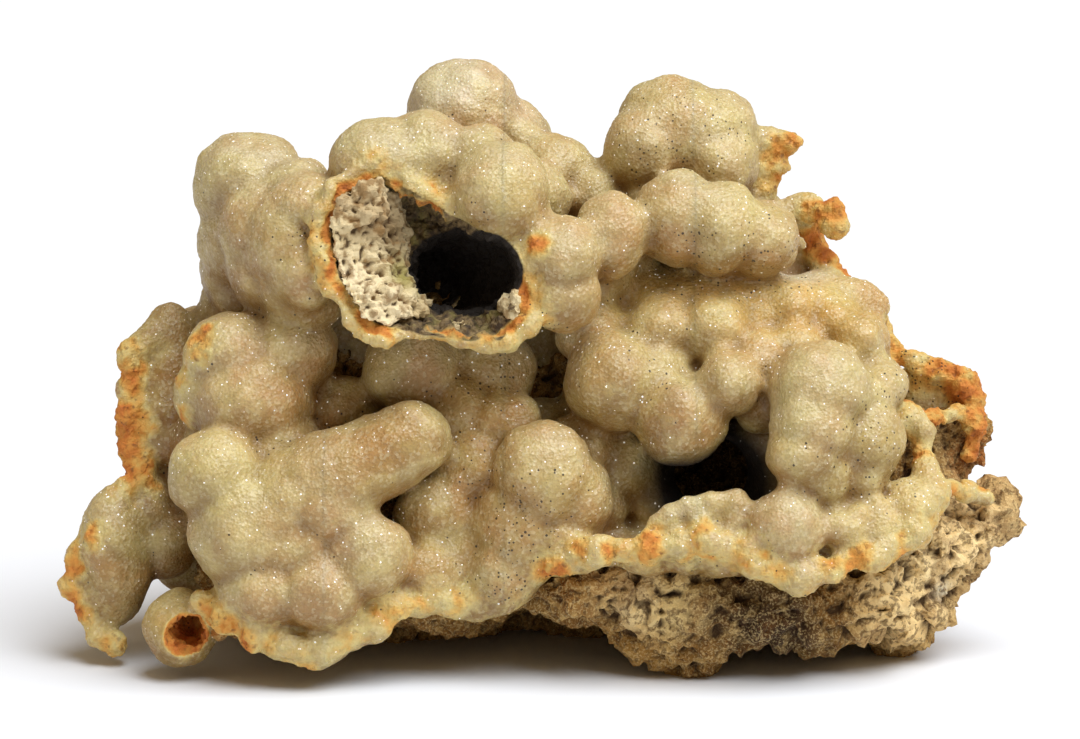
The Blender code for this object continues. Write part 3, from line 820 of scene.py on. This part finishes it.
def near_surface(points, obj, reach):
    """One on another object's surface, nothing past the reach."""
    tree = BVHTree.FromObject(obj, bpy.context.evaluated_depsgraph_get())
    low = places(obj).min(axis=0) - reach
    high = places(obj).max(axis=0) + reach
    inside = np.flatnonzero(((points > low) & (points < high)).all(axis=1))
    found = np.zeros(len(points))
    centre = Vector(CENTRE)
    for i in inside:
        distance = tree.find_nearest((Vector(points[i]) - centre) * MM, reach * MM)[3]
        if distance is not None:
            found[i] = 1.0 - distance / (reach * MM)
    return found


def neighbours_mean(obj, values, rounds):
    """Values spread over the mesh along its edges."""
    edges = np.empty(len(obj.data.edges) * 2, np.int32)
    obj.data.edges.foreach_get("vertices", edges)
    edges = edges.reshape(-1, 2)
    count = np.bincount(edges.reshape(-1), minlength=len(values)).astype(float)[:, None]
    flat = values.reshape(len(values), -1).astype(float)
    for _ in range(rounds):
        total = np.zeros_like(flat)
        for column in range(flat.shape[1]):
            total[:, column] = np.bincount(edges[:, 0], flat[edges[:, 1], column], len(values))
            total[:, column] += np.bincount(edges[:, 1], flat[edges[:, 0], column], len(values))
        flat = 0.5 * flat + 0.5 * total / np.maximum(count, 1)
    return flat.reshape(values.shape)


def hollowness(obj, points, rounds):
    """How far a point lies below the skin around it, in millimetres: above zero in creases."""
    around = neighbours_mean(obj, points, rounds)
    return ((around - points) * outward(obj)).sum(axis=1)


def store(obj, **layers):
    """Keeps a number or a colour for each point of a mesh, for its material."""
    for name, values in layers.items():
        if values.ndim == 1:
            layer = obj.data.attributes.new(name, "FLOAT", "POINT")
            layer.data.foreach_set("value", values.astype(np.float32))
        else:
            layer = obj.data.color_attributes.new(name, "FLOAT_COLOR", "POINT")
            with_alpha = np.concatenate((values, np.ones((len(values), 1))), axis=1)
            layer.data.foreach_set("color", with_alpha.astype(np.float32).reshape(-1))


def spotted(points, base, spots):
    """A colour for each point: the base, with the listed spots blended in."""
    colours = np.tile(np.array(base, float), (len(points), 1))
    for place, reach, hex_colour, strength in spots:
        away = np.linalg.norm(points - np.array(place), axis=1)
        share = (strength * fade(away, reach * 1.6))[:, None]
        colours = colours * (1 - share) + np.array(linear(hex_colour)) * share
    return colours


# The pieces


def hollow_cutters():
    """The bowl behind the tube's lip, its deep void, the stub's hole and the cave."""
    mouth = inner_lip(MOUTH_LIP, LIP_WALL, BOWL_FORWARD)
    bowl = piled("bowl", [], [barrel_points(mouth, BOWL_DEPTH, BOWL_NARROWING)])
    void = piled("void", all_finger_balls(VOID_FINGERS))
    hole = piled("hole", finger_balls(*STUB_HOLE))
    cave = piled("cave", all_finger_balls(CAVE_FINGERS))
    for obj in (void, hole, cave):
        blend_skin(obj, CUTTER_SKIN * MM, 2)
    return bowl, void, hole, cave


def crag(point):
    """Height of the broken rock at a place, in millimetres."""
    lumps = noise.noise(point / ROCK_LUMP_LENGTH + Vector((7.3, 1.1, 4.2)))
    grit = noise.noise(point / ROCK_GRIT_LENGTH)
    return ROCK_LUMP_HEIGHT * lumps + ROCK_GRIT_HEIGHT * grit


def rock_base():
    """The rock that the crust grew on, before its fine roughness."""
    rock = piled("host_rock_base", [*ROCK_BALLS, *all_finger_balls(ROCK_FINGERS)])
    blend_skin(rock, ROCK_FIRST_SKIN * MM, 3)
    points = places(rock)
    for place, side in ROCK_BREAKS:
        side = np.array(side) / np.linalg.norm(side)
        past = np.maximum((points - np.array(place)) @ side, 0)
        points -= (past * BREAK_FLATNESS)[:, None] * side
    put(rock, points)
    points += outward(rock) * at_each(points, crag)[:, None]
    put(rock, points)
    return rock


def swell(point):
    """The crust's slow swelling, with small knobs on it, in millimetres."""
    slow = SWELL_HEIGHT * noise.noise(point / SWELL_LENGTH)
    knobs = noise.voronoi(point / KNOB_SPACING)[0][0]
    return slow + KNOB_HEIGHT * (0.45 - knobs)


def crust_base(settings, cutters, rock):
    """The crust in one skin, with its hollows and without the rock that it sits on."""
    balls = [
        *TUBE_BALLS, *CROWN_BALLS, *DOME_BALLS, *CENTRE_BALLS, *LEFT_BALLS, *RIM_BALLS,
        *CAVE_BALLS, *BACK_BALLS, *CORE_BALLS, *RIM_KNOBS,
        *all_finger_balls((*FINGERS, CAVE_LINER)),
    ]
    noise.seed_set(EDGE_SEED)
    for points, radius in (*EDGE_PATHS, (MOUTH_LIP + MOUTH_LIP[:1], LIP_RADIUS)):
        balls += ragged_path_balls(points, radius, settings.seed_shift)
    barrel = barrel_points(MOUTH_LIP, BARREL_DEPTH, BARREL_NARROWING)
    crust = piled("quartz_crust_skin", balls, [barrel])
    blend_skin(crust, CRUST_FIRST_SKIN * MM, 2)
    points = places(crust)
    points += outward(crust) * at_each(points, swell)[:, None]
    put(crust, points)
    for cutter in (*cutters, rock):
        cut(crust, cutter)
    blend_skin(crust, settings.skin, 1)
    return crust


def rusted(points):
    """Rust along the broken edges: one on the edge itself, low in the yellow fringe beside it."""
    lip = MOUTH_LIP + MOUTH_LIP[:1]
    band = inner_lip(lip, LIP_RADIUS, 0.6)
    bare = 1 - 0.9 * near_spots(points, CLEAN_LIP)
    rust = np.maximum(1.2 * near_path(points, band, 2.6), 0.42 * near_path(points, lip, 7.5)) * bare
    for (path, radius), strength in zip(EDGE_PATHS, EDGE_RUST):
        edge = strength * near_path(points, path, radius + 2.4)
        fringe = 0.4 * near_path(points, path, radius + 6.5)
        rust = np.maximum(rust, np.maximum(edge, fringe))
    return np.maximum(rust, near_spots(points, RUST_SPOTS))


def hand_over(piece, node, material):
    """Rides the piece on the specimen, in place of the plain node."""
    piece.data.materials.clear()
    piece.data.materials.append(material)
    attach(piece, "root")
    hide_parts(node)


class SPECIMEN_OT_quartz_crust(bpy.types.Operator):
    """Grows the drusy quartz crust: lumps, broken tube, rust on the broken edges, and dust."""
    bl_idname = "specimen.quartz_crust"
    bl_label = "Quartz crust"

    def execute(self, context):
        settings = context.scene.specimen
        shift = Vector((settings.seed_shift, 0, 0))
        cutters = hollow_cutters()
        rock = rock_base()
        crust = crust_base(settings, cutters, rock)
        points = places(crust)
        mouth = near_path(points, CAVE_MOUTH, CAVE_MOUTH_REACH)[:, None]
        rounded = neighbours_mean(crust, points, CAVE_MOUTH_ROUNDS)
        points += (rounded - points) * np.clip(2.0 * mouth, 0, 1)
        put(crust, points)
        normals = outward(crust)

        in_bowl, in_void, in_hole, in_cave = (
            strength * near_surface(points, cutter, reach)
            for cutter, (strength, reach) in zip(cutters, HOLLOW_MARKS))
        on_rock = near_surface(points, rock, 1.0)
        # Painted shade: the crease mask darkens the crust in its creases
        crease = neighbours_mean(crust, np.clip(hollowness(crust, points, 30), -0.5, 1.5), 6)
        rise = neighbours_mean(crust, normals, 20)[:, 2]

        def patchiness(point):
            broad = noise.noise((point + shift) / PATCH_SIZES[0])
            return broad + 0.5 * noise.noise(point / PATCH_SIZES[1])
        patches = at_each(points, patchiness)
        rust = np.clip(np.maximum(rusted(points), 1.3 * in_hole) * (1.0 + 0.8 * patches), 0, 1)
        low_side = np.clip(0.3 - normals[:, 2], 0, 1)
        dust = near_spots(points, DUST_SPOTS) * np.clip(0.7 + 0.8 * patches, 0, 1)
        dust += 0.25 * low_side * np.clip(patches, 0, 1) + 0.35 * np.clip(crease, 0, 1)
        # Painted shade: undersides are made browner and darker, in their tone and in the crease mask as well
        under = np.clip(0.42 - 0.9 * rise, 0, 0.85)[:, None]
        tone = spotted(points, settings.quartz_colour, CRUST_SPOTS)
        store(crust, tone=tone * (1 - under) + np.array(linear(UNDERSIDE_SHADE_COLOUR)) * under,
              rust=rust, dust=np.clip(dust, 0, 1),
              crease=np.clip(crease * 1.2 + 0.7 * np.clip(0.15 - rise, 0, 1), 0, 1),
              # Painted deep shade near the void and the cave
              hollow=np.clip(in_bowl, 0, 1), dark=np.clip(np.maximum(in_void, in_cave), 0, 1))

        def grains(point):
            return 0.55 - noise.voronoi((point + shift) / (settings.grain / MM))[0][0]

        def crumbs(point):
            return noise.noise(point / CRUST_CRUMBS[0]) + 0.6 * noise.noise(point / 0.9)

        def clods(point):
            return noise.turbulence(point / CRUST_CLODS[0], 3, True) - 0.55
        rough = np.clip(1.3 * rust + in_bowl + in_void + in_hole, 0, 1)
        cloddy = np.clip(in_bowl + 0.5 * in_void + 0.6 * in_hole - 0.3, 0, 1)
        height = at_each(points, grains) * (settings.grain_height / MM) * (1 - 0.5 * rough)
        height += at_each(points, crumbs) * CRUST_CRUMBS[1] * rough
        height += at_each(points, clods) * CRUST_CLODS[1] * cloddy
        height *= 1 - 0.8 * on_rock
        jitter = np.random.default_rng(5).normal(0.0, 0.025, points.shape)
        put(crust, points + normals * height[:, None] + jitter)

        material = quartz_material()
        for i, piece in enumerate(split_across(crust, CRUST_WALLS)):
            piece.name = "quartz_crust_part_%d" % (i + 1)
            hand_over(piece, "quartz_crust", material)
        discard(crust, rock, *cutters)
        return {"FINISHED"}


class SPECIMEN_OT_host_rock(bpy.types.Operator):
    """Breaks the porous host rock out of the ground."""
    bl_idname = "specimen.host_rock"
    bl_label = "Host rock"

    def execute(self, context):
        seat = piled("cave_seat", finger_balls(*CAVE_LINER))
        blend_skin(seat, CUTTER_SKIN * MM, 2)
        rock = rock_base()
        cut(rock, seat)
        discard(seat)
        blend_skin(rock, context.scene.specimen.rock_skin, 0)
        points = places(rock)

        def crags(point):
            clods = ROCK_CLODS[1] * noise.turbulence(point / ROCK_CLODS[0], 3, True)
            knobs = ROCK_KNOBS[1] * noise.noise(point / ROCK_KNOBS[0])
            pits = max(0.0, noise.noise(point / ROCK_PITS[0] + Vector((2, 5, 9))) - 0.12)
            grit = ROCK_GRIT[1] * noise.noise(point / ROCK_GRIT[0])
            return clods + knobs + ROCK_PITS[1] * pits + grit
        height = at_each(points, crags)
        height -= height.mean()
        jitter = np.random.default_rng(9).normal(0.0, 0.10, points.shape)
        moved = points + outward(rock) * (height * 0.85)[:, None] + jitter
        # The rock stands flat on the floor
        moved[:, 2] = np.maximum(moved[:, 2], 0.0)
        moved[points[:, 2] < 0.4, 2] = 0.0
        put(rock, moved)
        # The crease mask is painted shade: the material darkens the rock in its hollows with it
        store(rock, tone=spotted(points, linear(ROCK_COLOUR), ROCK_SPOTS),
              crease=np.clip(0.3 + hollowness(rock, moved, 12) * 0.8, 0, 1))
        rock.name = "host_rock_broken"
        hand_over(rock, "host_rock", rock_material())
        return {"FINISHED"}


class SPECIMEN_OT_chalk_filling(bpy.types.Operator):
    """Fills the left of the tube's mouth with crumbly chalky mineral."""
    bl_idname = "specimen.chalk_filling"
    bl_label = "Chalk filling"

    def execute(self, context):
        bowl, void, hole, cave = hollow_cutters()
        chalk = piled("chalk_filling_crumbly", CHALK_BALLS + CHALK_DRIFTS)
        blend_skin(chalk, CHALK_FIRST_SKIN * MM, 2)
        cut(chalk, bowl, "INTERSECT")
        cut(chalk, void)
        blend_skin(chalk, CHALK_SKIN * MM, 1)
        points = places(chalk)

        def crumble(point):
            clods = CHALK_CLODS[1] * (noise.turbulence(point / CHALK_CLODS[0], 4, True) - 0.5)
            pits = max(0.0, noise.noise(point / CHALK_PITS[0] + Vector((3, 8, 1))) - 0.25)
            return clods + CHALK_PITS[1] * pits + CHALK_CRUMBS[1] * noise.noise(point / CHALK_CRUMBS[0])
        height = at_each(points, crumble)
        put(chalk, points + outward(chalk) * (0.8 * height)[:, None])
        store(chalk, tone=spotted(points, linear(CHALK_COLOUR), CHALK_SPOTS),
              crease=np.clip(0.25 + hollowness(chalk, places(chalk), 10) * 1.2, 0, 1))
        hand_over(chalk, "chalk_filling", chalk_material())
        discard(bowl, void, hole, cave)
        return {"FINISHED"}


# Materials


def hexa(colour):
    return (*linear(colour), 1.0)


def per_metre(millimetres):
    """A pattern's scale for features this far apart."""
    return 1000.0 / millimetres


def add_node(tree, kind, inputs=None, **settings):
    """Adds a node, with its settings by name and its inputs linked or set by name or number."""
    node = tree.nodes.new(kind)
    for name, value in settings.items():
        setattr(node, name, value)
    for name, value in (inputs or {}).items():
        if isinstance(value, bpy.types.NodeSocket):
            tree.links.new(value, node.inputs[name])
        else:
            node.inputs[name].default_value = value
    return node


def new_material(name):
    """A material, its tree and shader, and what its patterns and its colour start from."""
    material = bpy.data.materials.new(name)
    material.use_nodes = True
    tree = material.node_tree
    where = add_node(tree, "ShaderNodeTexCoord").outputs["Object"]
    tone = add_node(tree, "ShaderNodeAttribute", attribute_name="tone").outputs["Color"]
    return material, tree, tree.nodes["Principled BSDF"], where, tone


def coated(tree, base, coats):
    """Lays coats of colour over a base. A coat is (mask, from, to, strength, colour): it is
    bare where the mask is at the first value and has its strength at the second."""
    for mask, low, high, strength, colour in coats:
        share = add_node(tree, "ShaderNodeMapRange", {
            "Value": mask, "From Min": low, "From Max": high, "To Max": strength})
        coat = add_node(tree, "ShaderNodeMix", {
            0: share.outputs["Result"], 6: base, 7: colour}, data_type="RGBA")
        base = coat.outputs[2]
    return base


# Rust is pale yellow at its edge, then ochre, then orange and red-brown
RUST_HUES = ((0.14, "D8C684"), (0.34, "D6AE5C"), (0.50, "D49440"), (0.68, "C9792E"), (0.90, "9C5020"))
QUARTZ_IOR = 1.544
CRYSTAL_SPACING = 0.6
PAINTED_GLINT_SPACING = 0.55
# Dust between the crystals is drawn a little coarser than it is so that it shows
SPECK_SPACING = 0.85


def quartz_material():
    """Drusy quartz: fine clear crystals over milky quartz, so it is sugary, with painted glints: white,
    faintly glowing specks, mostly on the upper sides.
    """
    material, tree, shader, where, tone = new_material("drusy_quartz_crust")
    rust, dust, crease, hollow, dark = (
        add_node(tree, "ShaderNodeAttribute", attribute_name=name).outputs["Fac"]
        for name in ("rust", "dust", "crease", "hollow", "dark"))
    aside = add_node(tree, "ShaderNodeVectorMath", {0: where, 1: (0.3, 0.1, 0.7)}, operation="ADD")
    broad, tint, slow, pale, fine, grit = (
        add_node(tree, "ShaderNodeTexNoise", {
            "Vector": start, "Scale": per_metre(size), "Detail": detail}).outputs["Fac"]
        for start, size, detail in (
            (where, 24, 2.0), (aside.outputs[0], 13, 3.0), (where, 7, 4.0),
            (where, 3.2, 4.0), (where, 1.5, 5.0), (where, 0.6, 2.0)))
    # Each cell gives the distance from its middle, and three lots that are its own
    cells = []
    for spacing in (CRYSTAL_SPACING, SPECK_SPACING, PAINTED_GLINT_SPACING):
        cell = add_node(tree, "ShaderNodeTexVoronoi", {"Vector": where, "Scale": per_metre(spacing)})
        lots = add_node(tree, "ShaderNodeSeparateColor", {"Color": cell.outputs["Color"]})
        cells.append((cell.outputs["Distance"], lots.outputs))
    (crystal_away, crystal_lots), (speck_away, speck_lots), (painted_glint_away, painted_glint_lots) = cells

    # Milky quartz, of which each crystal lets a little more or less through
    base = coated(tree, tone, (
        (broad, 0.44, 0.60, 0.40, hexa("BE9050")),
        (tint, 0.52, 0.64, 0.35, hexa("D6C67C")),
        (tint, 0.48, 0.36, 0.35, hexa("C8935C")),
        (slow, 0.46, 0.66, 0.40, hexa("E2D698")),
        (pale, 0.52, 0.70, 0.30, hexa("A5904E")),
        (crystal_lots[0], 0.0, 1.0, 0.22, hexa("8A7034")),
        (crystal_lots[2], 0.6, 1.0, 0.28, hexa("F2E9C6")),
        (grit, 0.5, 0.7, 0.28, hexa("8A6C30")),
        # Painted shade: darker brown in the creases and on the undersides
        (crease, 0.05, 0.80, 0.80, hexa("7C5520")),
    ))

    normal = add_node(tree, "ShaderNodeNewGeometry").outputs["Normal"]
    upward = add_node(tree, "ShaderNodeSeparateXYZ", {0: normal}).outputs[2]
    inside = add_node(tree, "ShaderNodeMath", {0: hollow, 1: dark}, operation="ADD").outputs[0]
    rust_hollow_and_deep_shade = add_node(tree, "ShaderNodeMath", {0: rust, 1: inside}, operation="ADD").outputs[0]
    # Each goes from one amount to another as its mask does: mask, from, to, and the amounts
    freckled, rusty, in_bowl, unrusted, clean, speck_reach, painted_glint_reach, painted_glint_odds = (
        add_node(tree, "ShaderNodeMapRange", {
            "Value": mask, "From Min": low, "From Max": high, "To Min": first, "To Max": last,
        }).outputs["Result"]
        for mask, low, high, first, last in (
            (fine, 0.56, 0.70, 0.0, 1.0),
            (rust, 0.20, 0.60, 0.0, 0.7),
            (hollow, 0.20, 0.60, 0.0, 1.0),
            (rust, 0.35, 0.75, 1.0, 0.15),
            (rust_hollow_and_deep_shade, 0.3, 0.7, 1.0, 0.0),
            (speck_lots[1], 0.0, 1.0, 0.14, 0.34),
            (painted_glint_lots[2], 0.0, 1.0, 0.10, 0.40),
            (upward, -0.3, 0.8, 0.99, 0.90)))
    frayed, warmth, speck_odds = (
        add_node(tree, "ShaderNodeMath", {0: value, 1: times, 2: plus},
                 operation="MULTIPLY_ADD").outputs[0]
        for value, times, plus in ((fine, 0.6, rust), (rust, 0.62, -0.45), (dust, -0.75, 1.0)))
    hue = add_node(tree, "ShaderNodeMath", {0: pale, 1: 0.9, 2: warmth}, operation="MULTIPLY_ADD")

    # Specks and painted glints lie in the few cells whose lot beats the odds, and reach only so far in them.
    # A painted glint is a white speck that stands for a crystal face catching the light, mostly on the upper
    # sides
    found = []
    for lot, odds, away, reach in ((speck_lots[0], speck_odds, speck_away, speck_reach),
                                   (painted_glint_lots[1], painted_glint_odds, painted_glint_away, painted_glint_reach)):
        drawn = add_node(tree, "ShaderNodeMath", {0: lot, 1: odds}, operation="GREATER_THAN")
        near = add_node(tree, "ShaderNodeMath", {0: away, 1: reach}, operation="LESS_THAN")
        found.append((drawn.outputs[0], near.outputs[0]))
    speck, any_painted_glint, red_freckle, bare_inside = (
        add_node(tree, "ShaderNodeMath", {0: first, 1: second}, operation="MULTIPLY").outputs[0]
        for first, second in (*found, (freckled, rusty), (in_bowl, unrusted)))
    painted_glint = add_node(tree, "ShaderNodeMath", {0: any_painted_glint, 1: clean}, operation="MULTIPLY").outputs[0]
    matt = add_node(tree, "ShaderNodeMath", {0: clean, 1: painted_glint}, operation="SUBTRACT").outputs[0]

    rust_hue = add_node(tree, "ShaderNodeValToRGB", {"Fac": hue.outputs[0]})
    stops = rust_hue.color_ramp.elements
    stops[0].position = RUST_HUES[0][0]
    stops[1].position = RUST_HUES[-1][0]
    for position, _ in RUST_HUES[1:-1]:
        stops.new(position)
    for stop, (_, colour) in zip(stops, RUST_HUES):
        stop.color = hexa(colour)
    # The inside of the broken tube is brown crumbly rock. Where the void and the cave go deep, near-black
    # painted shade is laid over the crust
    crumbs = coated(tree, hexa("3C2C18"), (
        (fine, 0.38, 0.62, 1.0, hexa("86704A")),
        (pale, 0.50, 0.68, 0.6, hexa("8E8444")),
    ))
    base = coated(tree, base, (
        (frayed, 0.42, 0.75, 1.0, rust_hue.outputs["Color"]),
        (red_freckle, 0.0, 1.0, 1.0, hexa("6A3E1A")),
        (bare_inside, 0.0, 1.0, 1.0, crumbs),
        # Painted shade, near black, in the void and the cave
        (dark, 0.1, 0.6, 1.0, hexa("1E150C")),
        (speck, 0.0, 1.0, 0.9, hexa("2E1F0C")),
        # Painted glints: pure white specks
        (painted_glint, 0.0, 1.0, 1.0, hexa("FFFFFF")),
    ))
    tree.links.new(base, shader.inputs["Base Color"])
    # Painted glow: the glints also shine faintly by themselves
    painted_glow = coated(tree, hexa("000000"), ((painted_glint, 0.0, 1.0, 1.0, hexa("FFF6E0")),))
    tree.links.new(painted_glow, shader.inputs["Emission Color"])
    shader.inputs["Emission Strength"].default_value = 0.35
    for name, value, first, last in (("Roughness", matt, 0.8, 0.42),
                                     ("Subsurface Weight", clean, 0.0, 0.35)):
        amount = add_node(tree, "ShaderNodeMapRange", {"Value": value, "To Min": first, "To Max": last})
        tree.links.new(amount.outputs["Result"], shader.inputs[name])
    shader.inputs["IOR"].default_value = QUARTZ_IOR
    shader.inputs["Subsurface Radius"].default_value = (1.0, 0.75, 0.42)
    shader.inputs["Subsurface Scale"].default_value = 4.0 * MM
    bump = add_node(tree, "ShaderNodeBump", {"Height": crystal_away, "Strength": 0.55, "Distance": 0.3 * MM})
    tree.links.new(bump.outputs["Normal"], shader.inputs["Normal"])
    return material


# Grains and stains of the rock: size in millimetres, from, to, strength, colour
ROCK_GRAINS = (
    (6.0, 0.50, 0.62, 0.50, "7A4C12"),
    (2.6, 0.52, 0.62, 0.40, "E8C47C"),
    (1.3, 0.51, 0.59, 0.65, "4A2A06"),
    (0.5, 0.50, 0.62, 0.35, "F4D898"),
)


def rock_material():
    """Weathered porous host rock: iron-stained tan, with darker pores, pale crystal grit, and painted shade
    in its hollows.
    """
    material, tree, shader, where, tone = new_material("weathered_host_rock")
    colour = tone
    for size, low, high, strength, shade in ROCK_GRAINS:
        grain = add_node(tree, "ShaderNodeTexNoise", {
            "Vector": where, "Scale": per_metre(size), "Detail": 3.0})
        colour = coated(tree, colour, ((grain.outputs["Fac"], low, high, strength, hexa(shade)),))
    crease = add_node(tree, "ShaderNodeAttribute", attribute_name="crease").outputs["Fac"]
    # Painted shade: near-black brown in the rock's hollows
    colour = coated(tree, colour, ((crease, 0.36, 0.85, 0.9, hexa("3A2206")),))
    tree.links.new(colour, shader.inputs["Base Color"])
    shader.inputs["Roughness"].default_value = 0.92
    grit = add_node(tree, "ShaderNodeTexNoise", {"Vector": where, "Scale": per_metre(0.7), "Detail": 6.0})
    bump = add_node(tree, "ShaderNodeBump", {
        "Height": grit.outputs["Fac"], "Strength": 0.7, "Distance": 0.8 * MM})
    tree.links.new(bump.outputs["Normal"], shader.inputs["Normal"])
    return material


def chalk_material():
    """Chalky mineral: matte, crumbly and cream white, with brown stains, and darker brown deep in its pits.
    """
    material, tree, shader, where, tone = new_material("crumbly_chalk")
    crease = add_node(tree, "ShaderNodeAttribute", attribute_name="crease").outputs["Fac"]
    stain, grit = (
        add_node(tree, "ShaderNodeTexNoise", {
            "Vector": where, "Scale": per_metre(size), "Detail": 5.0}).outputs["Fac"]
        for size in (3.0, 0.6))
    colour = coated(tree, tone, (
        # Darker brown deep in the pits, where the crease mask is high
        (crease, 0.34, 0.70, 0.90, hexa("4E3416")),
        (stain, 0.50, 0.62, 0.75, hexa("8A6634")),
    ))
    tree.links.new(colour, shader.inputs["Base Color"])
    shader.inputs["Roughness"].default_value = 0.95
    bump = add_node(tree, "ShaderNodeBump", {"Height": grit, "Strength": 0.5, "Distance": 0.5 * MM})
    tree.links.new(bump.outputs["Normal"], shader.inputs["Normal"])
    return material


def paper_material():
    """White seamless paper: matte and even."""
    material = bpy.data.materials.new("white_paper")
    material.use_nodes = True
    shader = material.node_tree.nodes["Principled BSDF"]
    shader.inputs["Base Color"].default_value = hexa("F2F6FC")
    shader.inputs["Roughness"].default_value = 0.9
    return material


# How far the floor reaches, in metres
FLOOR_REACH = 4.0
# The side that the lamp shines from, and what the camera looks at in the layout
LAMP_SIDE = (0.42, -0.36, 1.0)
AIM = (0.0, 0.0, 59.0)


class SPECIMEN_OT_studio(bpy.types.Operator):
    """Lays the pale floor and sets the soft light and the camera."""
    bl_idname = "specimen.studio"
    bl_label = "Studio"

    def execute(self, context):
        scene = context.scene
        settings = scene.studio
        mesh = bmesh.new()
        bmesh.ops.create_grid(mesh, x_segments=1, y_segments=1, size=FLOOR_REACH)
        floor = object_from("floor", mesh)
        floor.data.materials.append(paper_material())

        lamp = bpy.data.lights.new("soft_lamp", "SUN")
        lamp.energy = settings.lamp
        lamp.angle = settings.softness
        lamp.color = linear("F6FAFF")
        light = bpy.data.objects.new("soft_lamp", lamp)
        light.rotation_euler = Vector(LAMP_SIDE).to_track_quat("Z", "Y").to_euler()
        scene.collection.objects.link(light)
        world = bpy.data.worlds.new("studio")
        world.use_nodes = True
        sky = world.node_tree.nodes["Background"]
        sky.inputs["Color"].default_value = hexa("FFE4C0")
        sky.inputs["Strength"].default_value = settings.sky
        scene.world = world

        back = Vector((0, -math.cos(settings.elevation), math.sin(settings.elevation)))
        camera = bpy.data.cameras.new("camera")
        camera.lens = settings.lens
        camera.sensor_width = 36.0
        camera.clip_start = 0.01
        holder = bpy.data.objects.new("camera", camera)
        holder.location = (Vector(AIM) - Vector(CENTRE)) * MM + back * settings.distance
        holder.rotation_euler = (-back).to_track_quat("-Z", "Y").to_euler()
        scene.collection.objects.link(holder)
        scene.camera = holder
        scene.view_settings.view_transform = "Standard"
        return {"FINISHED"}


class SPECIMEN_PT_panel(bpy.types.Panel):
    """Lists the specimen's pieces and settings."""
    bl_idname = "SPECIMEN_PT_panel"
    bl_label = "Botryoidal quartz"
    bl_space_type = "VIEW_3D"
    bl_region_type = "UI"
    bl_category = "Specimen"

    def draw(self, context):
        for name in SpecimenSettings.__annotations__:
            self.layout.prop(context.scene.specimen, name)
        for operator in OPERATORS:
            self.layout.operator(operator.bl_idname)
        for name in StudioSettings.__annotations__:
            self.layout.prop(context.scene.studio, name)


OPERATORS = (
    SPECIMEN_OT_quartz_crust, SPECIMEN_OT_host_rock, SPECIMEN_OT_chalk_filling, SPECIMEN_OT_studio)
CLASSES = (SpecimenSettings, StudioSettings, *OPERATORS, SPECIMEN_PT_panel)


def register():
    for cls in CLASSES:
        bpy.utils.register_class(cls)
    bpy.types.Scene.specimen = PointerProperty(type=SpecimenSettings)
    bpy.types.Scene.studio = PointerProperty(type=StudioSettings)


def unregister():
    del bpy.types.Scene.studio
    del bpy.types.Scene.specimen
    for cls in reversed(CLASSES):
        bpy.utils.unregister_class(cls)


def main():
    register()
    bpy.ops.specimen.quartz_crust()
    bpy.ops.specimen.host_rock()
    bpy.ops.specimen.chalk_filling()
    bpy.ops.specimen.studio()


if __name__ == "__main__":
    main()
